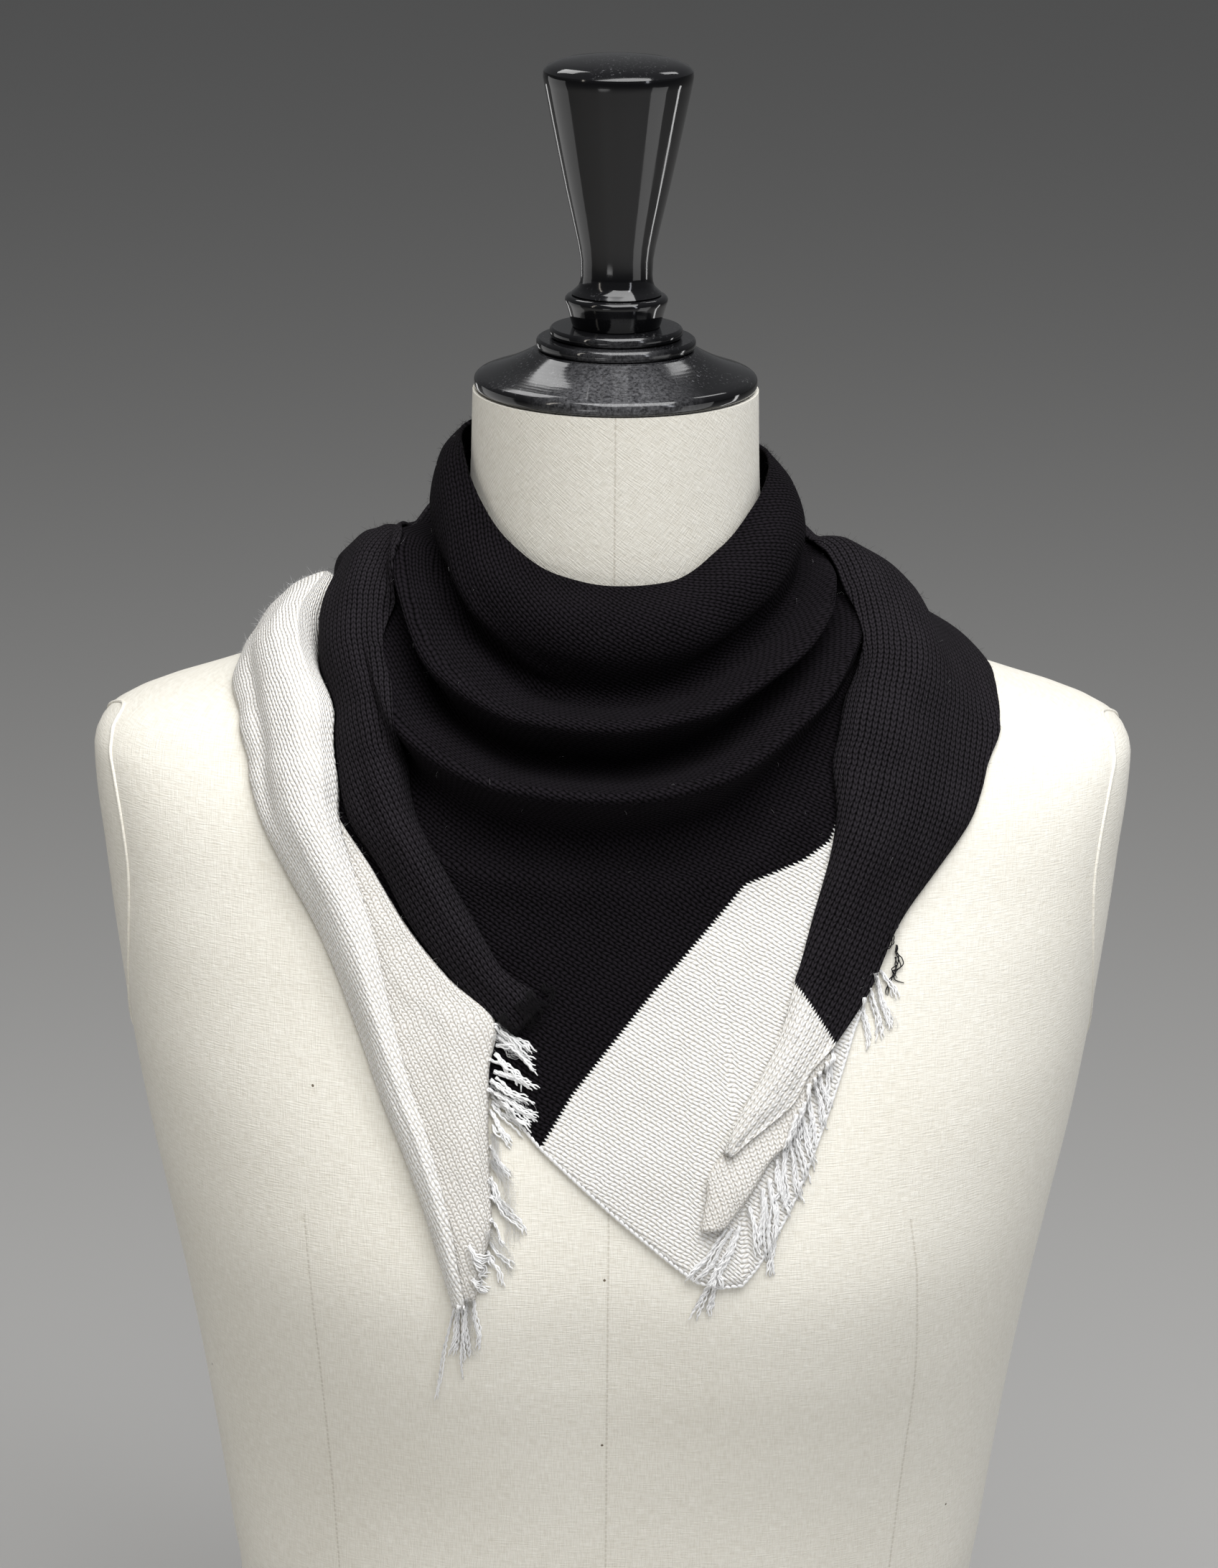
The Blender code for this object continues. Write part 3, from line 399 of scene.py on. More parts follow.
def linear_colour(code: str) -> tuple[float, float, float, float]:
    """Turns an sRGB hex colour into the linear colour a shader takes.

    Args:
        code: the colour, such as "#e6e0d2".

    Returns:
        Linear red, green, blue, and full opacity.
    """
    channels = [int(code[k:k + 2], 16) / 255.0 for k in (1, 3, 5)]
    linear = [c / 12.92 if c <= 0.04045 else ((c + 0.055) / 1.055) ** 2.4 for c in channels]
    return (linear[0], linear[1], linear[2], 1.0)


COLOUR_A, COLOUR_B, MIXED = 6, 7, 2   # a Mix node's colour sockets, which share their names with others


def set_inputs(material: Material, node: Node, inputs: dict) -> None:
    """Gives a node its values and links.

    Args:
        material: the node's material.
        node: the node.
        inputs: each socket's name or number, with its value or hex colour, or with the socket
            or the node that feeds it.
    """
    for name, value in inputs.items():
        if isinstance(value, Node):
            value = value.outputs[MIXED if value.bl_idname == "ShaderNodeMix" else 0]
        if isinstance(value, str):
            value = linear_colour(value)
        if isinstance(value, NodeSocket):
            material.node_tree.links.new(value, node.inputs[name])
        else:
            node.inputs[name].default_value = value


def add_node(material: Material, kind: str, inputs: dict, **settings: object) -> Node:
    """Adds a shader node with its settings, values and links.

    Args:
        material: the material that gets the node.
        kind: Blender's name of the node type, after "ShaderNode".
        inputs: as for set_inputs.
        settings: the node's own properties.

    Returns:
        The new node.
    """
    node = material.node_tree.nodes.new("ShaderNode" + kind)
    for name, value in settings.items():
        setattr(node, name, value)
    set_inputs(material, node, inputs)
    return node


def new_material(name: str) -> tuple[Material, Node]:
    """Starts a material with only a Principled shader and its output.

    Args:
        name: the material's name.

    Returns:
        The material and its Principled shader.
    """
    material = bpy.data.materials.new(name)
    material.use_nodes = True
    return material, material.node_tree.nodes["Principled BSDF"]


class KnitSide(Enum):
    """How the stocking stitch shows: its legs' steepness, how ribbed it is, and how its rows stand out."""

    FACE = (0.5, 0.12, 0.35)
    RIBBED = (0.5, 0.5, 0.35)
    REVERSE = (0.5, 0.4, 0.45)


@dataclass(frozen=True)
class KnitFinish:
    """Cashmere in stocking stitch, steamed and lightly napped.

    The eye sees fine ropes of slanting stitch legs, two to a column of V's, with a small
    hole wherever four stitches meet, a matt surface, and a faint pale halo; painted shade
    darkens the grooves and holes between the stitches. The reverse reads as broken ribs.
    """

    name: str
    side: KnitSide
    # the stitches' colours on their tops, and their painted shade in the grooves and holes between them
    black: str = "#1d1a1e"
    black_painted_shade: str = "#000000"
    white: str = "#fefdfb"
    white_painted_shade: str = "#dcd7cd"
    wale: float = 2.8         # mm from one column of stitches to the next
    course: float = 2.33      # mm from one row of stitches to the next
    relief: float = 0.5       # mm that a stitch stands out
    stray: float = 1.2        # mm that the rows wander

    def material(self) -> Material:
        """Builds the knit from its UV map in metres and its colour-line attribute."""
        made, shader = new_material(self.name)
        uv = add_node(made, "UVMap", {}, uv_map="knit")
        stray = add_node(made, "TexNoise", {"Vector": uv, "Scale": 140.0, "Detail": 2.0},
                         noise_dimensions="2D")
        centred = add_node(made, "VectorMath", {0: stray.outputs["Color"], 1: (0.5, 0.5, 0.5)},
                           operation="SUBTRACT")
        nudged = add_node(made, "VectorMath", {0: centred, 1: (self.stray * MM, self.stray * MM, 0.0), 2: uv},
                          operation="MULTIPLY_ADD")
        stitch = add_node(made, "VectorMath", {0: nudged, 1: (self.wale * MM, self.course * MM, 1.0)},
                          operation="DIVIDE")
        axes = add_node(made, "SeparateXYZ", {0: stitch})
        fold = add_node(made, "Math", {0: axes.outputs["X"], 1: 0.5}, operation="PINGPONG")
        leg = add_node(made, "Math", {0: fold, 1: -2.0, 2: 1.0}, operation="MULTIPLY_ADD")
        height = self._legs(made, axes, leg)
        fibre = add_node(made, "TexNoise", {"Vector": uv, "Scale": 2600.0, "Detail": 3.0, "Roughness": 0.7},
                         noise_dimensions="2D")
        rough = add_node(made, "Math", {0: fibre, 1: 0.32, 2: height}, operation="MULTIPLY_ADD")
        light = self._colour(made, uv, leg, rough)
        bump = add_node(made, "Bump", {"Height": rough, "Distance": self.relief * MM, "Strength": 1.0})
        set_inputs(made, shader, {"Base Color": light, "Normal": bump, "Roughness": 0.92,
                                  "Specular IOR Level": 0.04, "Sheen Weight": 0.015, "Sheen Roughness": 0.4,
                                  "Sheen Tint": "#a9a7ad"})
        return made

    def _legs(self, made: Material, axes: Node, leg: Node) -> Node:
        """Height of the stitch legs: grooves along and between them, and holes where these meet."""
        steep, ribbed, rows = self.side.value
        climb = add_node(made, "Math", {0: leg, 1: -steep, 2: axes.outputs["Y"]}, operation="MULTIPLY_ADD")
        wave = add_node(made, "Math", {0: climb, 1: 0.5}, operation="PINGPONG")
        row = add_node(made, "Math", {0: wave, 1: math.pi}, operation="MULTIPLY")
        row = add_node(made, "Math", {0: row}, operation="SINE")
        turn = add_node(made, "Math", {0: axes.outputs["X"], 1: math.pi}, operation="MULTIPLY")
        rib = add_node(made, "Math", {0: turn}, operation="SINE")
        rib = add_node(made, "Math", {0: rib}, operation="ABSOLUTE")
        rib = add_node(made, "Math", {0: rib, 1: ribbed}, operation="MULTIPLY")
        turn = add_node(made, "Math", {0: turn, 1: 2.0}, operation="MULTIPLY")
        rope = add_node(made, "Math", {0: turn}, operation="SINE")
        rope = add_node(made, "Math", {0: rope}, operation="ABSOLUTE")
        rope = add_node(made, "Math", {0: rope, 1: 0.7}, operation="POWER")
        rope = add_node(made, "Math", {0: rope, 1: 1.0 - ribbed, 2: rib}, operation="MULTIPLY_ADD")
        swell = add_node(made, "Math", {0: row, 1: rope}, operation="MULTIPLY")
        crest = add_node(made, "Math", {0: row, 1: rows}, operation="MULTIPLY")
        crest = add_node(made, "Math", {0: rope, 1: 1.1 - rows, 2: crest}, operation="MULTIPLY_ADD")
        return add_node(made, "Math", {0: swell, 1: 0.25, 2: crest}, operation="MULTIPLY_ADD")

    def _colour(self, made: Material, uv: Node, leg: Node, height: Node) -> Node:
        """Black or white by the side of the colour line, with painted shade between the stitches."""
        line = add_node(made, "Attribute", {}, attribute_name="colour_line")
        tooth = add_node(made, "Math", {0: leg, 1: 0.5}, operation="PINGPONG")
        tip = add_node(made, "Math", {0: tooth, 1: 1.3 * self.course * MM, 2: line.outputs["Fac"]},
                       operation="MULTIPLY_ADD")
        white = add_node(made, "MapRange", {"Value": tip, "From Min": 0.0006, "From Max": 0.0009})
        cloud = add_node(made, "TexNoise", {"Vector": uv, "Scale": 55.0, "Detail": 2.0},
                         noise_dimensions="2D")
        # painted shade: the colour darkens from the stitches' tops into the grooves and holes between them
        lit = add_node(made, "MapRange",
                       {"Value": height, "From Min": 0.45, "From Max": 1.4, "To Min": -0.2, "To Max": 0.9})
        lit = add_node(made, "Math", {0: cloud, 1: 0.25, 2: lit}, operation="MULTIPLY_ADD", use_clamp=True)
        blacks = add_node(made, "Mix", {0: lit, COLOUR_A: self.black_painted_shade, COLOUR_B: self.black},
                          data_type="RGBA")
        whites = add_node(made, "Mix", {0: lit, COLOUR_A: self.white_painted_shade, COLOUR_B: self.white},
                          data_type="RGBA")
        return add_node(made, "Mix", {0: white, COLOUR_A: blacks, COLOUR_B: whites}, data_type="RGBA")


@dataclass(frozen=True)
class YarnFinish:
    """Loose plied cashmere yarn: the same fibre, with the ply's slanting twist in sight."""

    name: str
    # the yarn's colour on the ply's crests, and its painted shade in the grooves
    light: str
    shade: str
    twist: float = 1.1        # mm along the yarn between two grooves of its ply
    halo: float = 0.4         # how far fine hairs whiten its rim
    through: float = 0.0      # how much light soaks through, as it does in white yarn

    def material(self) -> Material:
        """Builds the yarn from its UV map: round the ply by its length in metres."""
        made, shader = new_material(self.name)
        uv = add_node(made, "UVMap", {}, uv_map="yarn")
        axes = add_node(made, "SeparateXYZ", {0: uv})
        run = add_node(made, "Math", {0: axes.outputs["Y"], 1: 2.0 / (self.twist * MM), 2: axes.outputs["X"]},
                       operation="MULTIPLY_ADD")
        wave = add_node(made, "Math", {0: run, 1: 0.5}, operation="PINGPONG")
        place = add_node(made, "TexCoord", {})
        fibre = add_node(made, "TexNoise",
                         {"Vector": place.outputs["Object"], "Scale": 9000.0, "Detail": 3.0})
        height = add_node(made, "Math", {0: wave, 1: 2.0, 2: fibre}, operation="MULTIPLY_ADD", use_clamp=True)
        # painted shade: the colour darkens into the grooves of the ply's twist
        colour = add_node(made, "Mix", {0: height, COLOUR_A: self.shade, COLOUR_B: self.light},
                          data_type="RGBA")
        bump = add_node(made, "Bump", {"Height": height, "Distance": 0.09 * MM})
        set_inputs(made, shader, {"Base Color": colour, "Normal": bump, "Roughness": 0.9,
                                  "Specular IOR Level": 0.15, "Sheen Weight": self.halo,
                                  "Sheen Roughness": 0.5, "Subsurface Weight": self.through,
                                  "Subsurface Scale": 0.5 * MM, "Subsurface Radius": (1.0, 1.0, 1.0)})
        return made


@dataclass(frozen=True)
class LinenFinish:
    """Unbleached plain-weave linen, glued over papier-mache and seamed by hand.

    Long slubs run with the warp and the weft, the cloth is matt and creamy, a few dark
    flecks of straw stay in it, and each seam is a fine shaded line.
    """

    name: str = "plain_weave_linen"
    light: str = "#f5f2e8"
    shade: str = "#d9d3c4"
    fleck: str = "#6d6252"
    seam: str = "#b3aa98"
    thread: float = 0.5       # mm from one thread to the next
    slub: float = 5.0         # mm that a thick stretch of thread runs on

    def material(self) -> Material:
        """Builds the weave from the UV map in metres and the seams from their attribute."""
        made, shader = new_material(self.name)
        uv = add_node(made, "UVMap", {}, uv_map="weave")
        fine, long = 1.0 / (self.thread * MM), 1.0 / (self.slub * MM)
        warp_place = add_node(made, "Mapping", {0: uv, "Scale": (fine, long, 1.0)})
        weft_place = add_node(made, "Mapping", {0: uv, "Scale": (long, fine, 1.0)})
        warp = add_node(made, "TexNoise", {"Vector": warp_place, "Scale": 1.0, "Detail": 2.0},
                        noise_dimensions="2D")
        weft = add_node(made, "TexNoise", {"Vector": weft_place, "Scale": 1.0, "Detail": 2.0},
                        noise_dimensions="2D")
        cross = add_node(made, "Math", {0: warp, 1: weft}, operation="ADD")
        cloud = add_node(made, "TexNoise", {"Vector": uv, "Scale": 16.0, "Detail": 3.0},
                         noise_dimensions="2D")
        tone = add_node(made, "Math", {0: cloud, 1: 0.45, 2: cross}, operation="MULTIPLY_ADD")
        lit = add_node(made, "MapRange", {"Value": tone, "From Min": 0.45, "From Max": 1.65})
        cloth = add_node(made, "Mix", {0: lit, COLOUR_A: self.shade, COLOUR_B: self.light}, data_type="RGBA")
        seam = self._seam(made)
        seamed = add_node(made, "Mix", {0: seam, COLOUR_A: cloth, COLOUR_B: self.seam}, data_type="RGBA")
        flecks = self._flecks(made, uv)
        spotted = add_node(made, "Mix", {0: flecks, COLOUR_A: seamed, COLOUR_B: self.fleck}, data_type="RGBA")
        height = add_node(made, "Math", {0: seam, 1: -1.4, 2: cross}, operation="MULTIPLY_ADD")
        bump = add_node(made, "Bump", {"Height": height, "Distance": 0.16 * MM})
        set_inputs(made, shader, {"Base Color": spotted, "Normal": bump, "Roughness": 0.86,
                                  "Specular IOR Level": 0.3, "Sheen Weight": 0.12, "Sheen Roughness": 0.5})
        return made

    def _seam(self, made: Material) -> Node:
        """1 along each hand-stitched seam and 0 elsewhere, from the distances to them."""
        middle = add_node(made, "Attribute", {}, attribute_name="seam_distance")
        middle = add_node(made, "Math", {0: middle.outputs["Fac"]}, operation="ABSOLUTE")
        dart = add_node(made, "Attribute", {}, attribute_name="dart_distance")
        dart = add_node(made, "Math", {0: dart.outputs["Fac"]}, operation="ABSOLUTE")
        place = add_node(made, "UVMap", {}, uv_map="weave")
        place = add_node(made, "SeparateXYZ", {0: place})
        above = add_node(made, "Math", {0: place.outputs["Y"], 1: DART_TOP * MM}, operation="GREATER_THAN")
        dart = add_node(made, "Math", {0: dart, 1: above}, operation="ADD")
        away = add_node(made, "Math", {0: middle, 1: dart}, operation="MINIMUM")
        step = add_node(made, "Math", {0: place.outputs["Y"], 1: 2.1 * MM}, operation="DIVIDE")
        step = add_node(made, "Math", {0: step}, operation="FRACT")
        gap = add_node(made, "Math", {0: step, 1: 0.62}, operation="GREATER_THAN")
        away = add_node(made, "Math", {0: gap, 1: 0.0003, 2: away}, operation="MULTIPLY_ADD")
        return add_node(made, "MapRange", {"Value": away, "From Min": 0.0001, "From Max": 0.00055,
                                           "To Min": 0.42, "To Max": 0.0})

    def _flecks(self, made: Material, uv: Node) -> Node:
        """1 on the rare bits of straw."""
        cells = add_node(made, "TexVoronoi", {"Vector": uv, "Scale": 28.0}, voronoi_dimensions="2D")
        near = add_node(made, "Math", {0: cells.outputs["Distance"], 1: 0.014}, operation="LESS_THAN")
        pick = add_node(made, "SeparateXYZ", {0: cells.outputs["Color"]})
        rare = add_node(made, "Math", {0: pick.outputs["X"], 1: 0.92}, operation="GREATER_THAN")
        return add_node(made, "Math", {0: near, 1: rare}, operation="MULTIPLY")


@dataclass(frozen=True)
class LacquerFinish:
    """Turned beech under black lacquer: deep gloss, fine turning rings, and dust on top.

    The lacquer mirrors the windows as long streaks and is duller in patches where dust lies;
    it greys in a patch at the front of the neck plate.
    """

    name: str = "black_lacquer"
    black: str = "#08080a"
    dust: str = "#77777a"
    dustiness: float = 0.5
    grey_patch_at: tuple[float, float, float] = (0.0, -0.047, 0.668)   # the front of the neck plate, in metres

    def material(self) -> Material:
        """Builds the lacquer on Object coordinates, with its dust where it faces up."""
        made, shader = new_material(self.name)
        place = add_node(made, "TexCoord", {})
        patch = add_node(made, "TexNoise", {"Vector": place.outputs["Object"], "Scale": 38.0, "Detail": 3.0})
        specks = add_node(made, "TexNoise",
                          {"Vector": place.outputs["Object"], "Scale": 950.0, "Detail": 2.0})
        speck = add_node(made, "MapRange", {"Value": specks, "From Min": 0.6, "From Max": 0.72})
        geometry = add_node(made, "NewGeometry", {})
        lean = add_node(made, "SeparateXYZ", {0: geometry.outputs["Normal"]})
        upward = add_node(made, "MapRange", {"Value": lean.outputs["Z"], "From Min": 0.3, "From Max": 0.95,
                                             "To Max": self.dustiness})
        there = add_node(made, "MapRange", {"Value": patch, "From Min": 0.42, "From Max": 0.62})
        dusty = add_node(made, "Math", {0: speck, 1: upward}, operation="MULTIPLY")
        dusty = add_node(made, "Math", {0: dusty, 1: there}, operation="MULTIPLY")
        # a grey patch at the front of the neck plate, fading out from its middle and broken up by fine noise
        grey_patch = add_node(made, "VectorMath", {0: place.outputs["Object"], 1: self.grey_patch_at},
                        operation="DISTANCE")
        grey_patch = add_node(made, "MapRange", {"Value": grey_patch.outputs["Value"], "From Min": 0.012,
                                           "From Max": 0.034, "To Min": 0.62, "To Max": 0.0})
        fine = add_node(made, "TexNoise",
                        {"Vector": place.outputs["Object"], "Scale": 800.0, "Detail": 4.0, "Roughness": 0.75})
        fine = add_node(made, "MapRange",
                        {"Value": fine, "From Min": 0.4, "From Max": 0.66, "To Min": 0.15, "To Max": 1.0})
        grey_patch = add_node(made, "Math", {0: grey_patch, 1: fine}, operation="MULTIPLY")
        film = add_node(made, "Math", {0: upward, 1: 0.04, 2: grey_patch}, operation="MULTIPLY_ADD")
        dusty = add_node(made, "Math", {0: dusty, 1: film}, operation="MAXIMUM", use_clamp=True)
        colour = add_node(made, "Mix", {0: dusty, COLOUR_A: self.black, COLOUR_B: self.dust},
                          data_type="RGBA")
        rough = add_node(made, "MapRange",
                         {"Value": patch, "From Min": 0.35, "From Max": 0.75, "To Min": 0.05, "To Max": 0.18})
        rings = add_node(made, "TexWave", {"Vector": place.outputs["Object"], "Scale": 190.0,
                                           "Distortion": 1.5, "Detail": 2.0}, wave_type="RINGS",
                         rings_direction="Z")
        bump = add_node(made, "Bump",
                        {"Height": rings.outputs["Fac"], "Distance": 0.02 * MM, "Strength": 0.35})
        set_inputs(made, shader, {"Base Color": colour, "Roughness": rough, "Normal": bump, "IOR": 1.47,
                                  "Coat Weight": 0.15, "Coat Roughness": 0.04})
        return made


@dataclass(frozen=True)
class PaperFinish:
    """The studio's pale matt paper, for the floor."""

    name: str = "studio_paper"
    colour: str = "#bcbbb9"

    def material(self) -> Material:
        """Builds the paper with a faint grain."""
        made, shader = new_material(self.name)
        place = add_node(made, "TexCoord", {})
        grain = add_node(made, "TexNoise", {"Vector": place.outputs["Object"], "Scale": 10.0, "Detail": 2.0})
        bump = add_node(made, "Bump", {"Height": grain, "Distance": 0.1 * MM})
        set_inputs(made, shader, {"Normal": bump, "Base Color": self.colour, "Roughness": 0.95})
        return made


# ---- making meshes ----

def deselect_all() -> None:
    """Leaves object mode with nothing selected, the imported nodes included."""
    if bpy.context.object is not None and bpy.context.object.mode != "OBJECT":
        bpy.ops.object.mode_set(mode="OBJECT")
    bpy.ops.object.select_all(action="DESELECT")


def make_active(obj: Object) -> None:
    """Selects one object alone."""
    deselect_all()
    obj.select_set(True)
    bpy.context.view_layer.objects.active = obj


def finish_mesh(obj: Object, name: str, material: Material) -> None:
    """Names and dresses a piece, and moves its place into its mesh.

    Args:
        obj: the piece.
        name: its new name.
        material: its only material.
    """
    make_active(obj)
    bpy.ops.object.transform_apply(location=True, rotation=True, scale=True)
    obj.name = name
    obj.data.name = name
    obj.data.materials.clear()
    obj.data.materials.append(material)
    bpy.ops.object.shade_smooth()


def edit_all(obj: Object) -> None:
    """Opens one object in edit mode with all of it selected."""
    make_active(obj)
    bpy.ops.object.mode_set(mode="EDIT")
    bpy.ops.mesh.select_all(action="SELECT")


def close_outwards(obj: Object, name: str, material: Material, angle: float) -> None:
    """Ends the editing of a closed piece: turns its faces out, dresses it and keeps edges past an angle."""
    bpy.ops.mesh.select_all(action="SELECT")
    bpy.ops.mesh.normals_make_consistent(inside=False)
    bpy.ops.object.mode_set(mode="OBJECT")
    finish_mesh(obj, name, material)
    bpy.ops.object.shade_smooth_by_angle(angle=math.radians(angle))


def lay_grid(points: Array) -> Object:
    """Adds a grid primitive and moves its vertices onto a surface.

    Args:
        points: places in metres, as (rows, columns, 3).

    Returns:
        The grid's object, with its faces outwards from the form.
    """
    deselect_all()
    rows, columns = points.shape[:2]
    bpy.ops.mesh.primitive_grid_add(x_subdivisions=columns - 1, y_subdivisions=rows - 1, size=1.0,
                                    calc_uvs=False)
    obj = bpy.context.object
    obj.data.vertices.foreach_set("co", points.reshape(-1).astype(np.float32))
    obj.data.update()
    if outward_sign(points) < 0:
        obj.data.flip_normals()
    return obj


def write_uv(obj: Object, name: str, values: Array) -> None:
    """Gives a mesh a UV map from one place for each vertex.

    Args:
        obj: the piece.
        name: the map's name.
        values: places in metres, as (vertices, 2).
    """
    layer = obj.data.uv_layers.get(name) or obj.data.uv_layers.new(name=name)
    corners = np.empty(len(obj.data.loops), dtype=np.int32)
    obj.data.loops.foreach_get("vertex_index", corners)
    layer.data.foreach_set("uv", values[corners].astype(np.float32).reshape(-1))


def write_attribute(obj: Object, name: str, values: Array) -> None:
    """Gives a mesh one number for each vertex."""
    made = obj.data.attributes.new(name=name, type="FLOAT", domain="POINT")
    made.data.foreach_set("value", values.astype(np.float32).reshape(-1))


def apply_modifiers(obj: Object) -> None:
    """Applies every modifier of a piece, in order."""
    make_active(obj)
    for modifier in list(obj.modifiers):
        bpy.ops.object.modifier_apply(modifier=modifier.name)


# ---- surfaces that cloth lies on ----

def on_cylinder(angles: Array, radii: Array, heights: Array) -> Array:
    """Places in metres at angles, radii and heights round the neck's axis."""
    turn = np.radians(angles)
    return np.stack((radii * np.sin(turn), NECK_AXIS_Y - radii * np.cos(turn),
                     heights * np.ones_like(turn)), axis=-1) * MM


def grid_normals(points: Array) -> Array:
    """Unit normals of a grid of points, (rows, columns, 3), towards the outside."""
    lean = np.cross(np.gradient(points, axis=1), np.gradient(points, axis=0))
    lean /= np.maximum(np.linalg.norm(lean, axis=-1, keepdims=True), 1e-12)
    return lean * outward_sign(points)


def grid_faces(rows: int, columns: int, start: int = 0) -> list[tuple[int, int, int, int]]:
    """Faces of a grid of points, as rows of quads."""
    return [(start + i * columns + j, start + i * columns + j + 1, start + (i + 1) * columns + j + 1,
             start + (i + 1) * columns + j) for i in range(rows - 1) for j in range(columns - 1)]


def form_ring(height: float, sides: int) -> Array:
    """The bust's outline at one height.

    Args:
        height: the height in mm.
        sides: how many places round it, from the front round by +X back to the front.

    Returns:
        Places in metres, the first one repeated at the end.
    """
    rows = np.array(FORM_ROWS)
    _, half_width, front, back, squareness, centre_y = smooth_between(rows[:, 0], rows, height)
    rise = BUST_RISE * math.exp(-((height - BUST_HEIGHT) / BUST_SPREAD) ** 2 / 2)
    turn = np.linspace(0.0, 2 * math.pi, sides + 1)
    s, c = np.sin(turn), np.cos(turn)
    x = half_width * np.sign(s) * np.abs(s) ** (2 / squareness)
    depth = np.where(c > 0, front, back)
    y = centre_y - depth * np.sign(c) * np.abs(c) ** (2 / squareness)
    swell = rise * np.exp(-((np.abs(x) - BUST_SIDE) / BUST_SPREAD) ** 2 / 2) * np.clip(3 * c, 0.0, 1.0)
    return np.stack((x, y - swell, np.full_like(x, height)), axis=-1) * MM


class FormSurface:
    """The bust's outer skin, as something that cloth can be laid on."""

    def __init__(self, sides: int = 240, step: float = 2.5) -> None:
        heights = np.arange(200.0, NECK_TOP, step)
        grid = np.stack([form_ring(h, sides) for h in heights])
        normals = grid_normals(grid).reshape(-1, 3)
        self.points = [Vector(p) for p in grid.reshape(-1, 3)]
        self.normals = [Vector(n) for n in normals]
        self.faces = grid_faces(len(heights), sides + 1)
        self.tree = BVHTree.FromPolygons(self.points, self.faces)

    def nearest(self, points: Array) -> tuple[Array, Array]:
        """Closest places on the bust, and its smooth outward directions there.

        Args:
            points: places in metres, in any arrangement that ends with x, y and z.

        Returns:
            The closest places and the directions, arranged in the same way.
        """
        flat = points.reshape(-1, 3)
        places, leans = np.empty_like(flat), np.empty_like(flat)
        for k, point in enumerate(flat):
            place, _, face, _ = self.tree.find_nearest(Vector(point))
            corners = self.faces[face]
            weights = poly_3d_calc([self.points[i] for i in corners], place)
            lean = Vector()
            for weight, i in zip(weights, corners):
                lean += weight * self.normals[i]
            places[k] = place
            leans[k] = lean.normalized()
        return places.reshape(points.shape), leans.reshape(points.shape)

    def at(self, angles: Array, heights: Array) -> Array:
        """Places on the bust at angles round the neck's axis and heights in mm."""
        angles, heights = np.broadcast_arrays(angles, heights)
        places = np.empty((angles.size, 3))
        for k, (angle, height) in enumerate(zip(angles.ravel(), heights.ravel())):
            turn = math.radians(angle)
            outward = Vector((math.sin(turn), -math.cos(turn), 0.0))
            start = Vector((0.0, NECK_AXIS_Y * MM, height * MM)) + outward * 0.4
            places[k] = self.tree.ray_cast(start, -outward)[0]
        return places.reshape(*angles.shape, 3)

    def cleared(self, points: Array, lift: float) -> Array:
        """Lifts the points that are closer to the bust than `lift` mm."""
        places, leans = self.nearest(points)
        above = np.sum((points - places) * leans, axis=-1, keepdims=True)
        return np.where(above >= lift * MM, points, places + leans * (lift * MM))


class Pile:
    """The outer skins of the cloth laid so far, for the next layer to rest on."""

    def __init__(self, grids: Sequence[Array]) -> None:
        points: list[Vector] = []
        faces: list[tuple[int, ...]] = []
        for grid in grids:
            faces.extend(grid_faces(*grid.shape[:2], len(points)))
            points.extend(Vector(p) for p in grid.reshape(-1, 3))
        self.tree = BVHTree.FromPolygons(points, faces) if points else None

    def elevation(self, bases: Array, leans: Array, probe: float = 0.12) -> Array:
        """How high the cloth lies above each base, along its direction.

        Args:
            bases: places in metres, (rows, columns, 3).
            leans: one outward direction for each place.
            probe: how far out the search starts, in metres.

        Returns:
            Heights in mm, and 0 where no cloth lies.
        """
        found = np.zeros(bases.shape[:2])
        if self.tree is None:
            return found
        for k in np.ndindex(found.shape):
            lean = Vector(leans[k])
            hit, _, _, far = self.tree.ray_cast(Vector(bases[k]) + lean * probe, -lean, probe)
            if hit is not None:
                found[k] = (probe - far) / MM
        return found


# ---- sheets ----

class Crease(NamedTuple):
    """A soft trough (or with a negative depth a ridge) pressed along a sheet by hand."""

    along: tuple[float, ...]
    across: tuple[float, ...]
    half_width: float
    depth: float


def crease_depth(points: Array, columns: Array, rows: Array, creases: Sequence[Crease]) -> Array:
    """How deep the creases press each point of a sheet.

    Args:
        points: the sheet in metres, (rows, columns, 3).
        columns: each column's place, in the creases' own units along the sheet.
        rows: each row's place, in the creases' own units across it.
        creases: the creases.

    Returns:
        Depths in mm, (rows, columns), above 0 for a trough.
    """
    arc = run_lengths(points) / MM
    depth = np.zeros(points.shape[:2])
    for crease in creases:
        middle = smooth_between(crease.along, np.array(crease.across), columns)
        start, end = crease.along[0], crease.along[-1]
        fade = eased(np.minimum(columns - start, end - columns) / max(0.22 * (end - start), 1e-6))
        centre = np.array([np.interp(m, rows, arc[:, k]) for k, m in enumerate(middle)])
        depth += crease.depth * fade * np.exp(-((arc - centre) / crease.half_width) ** 2)
    return depth


def ripples(points: Array, size: float, height: float, seed: int) -> Array:
    """Smooth uneven heights in mm over a sheet, from seeded Perlin noise."""
    offset = Vector((seed * 7.3, seed * 3.1, seed * 5.7))
    flat = [noise.noise(Vector(p) / (size * MM) + offset) for p in points.reshape(-1, 3)]
    return height * np.array(flat).reshape(points.shape[:2])


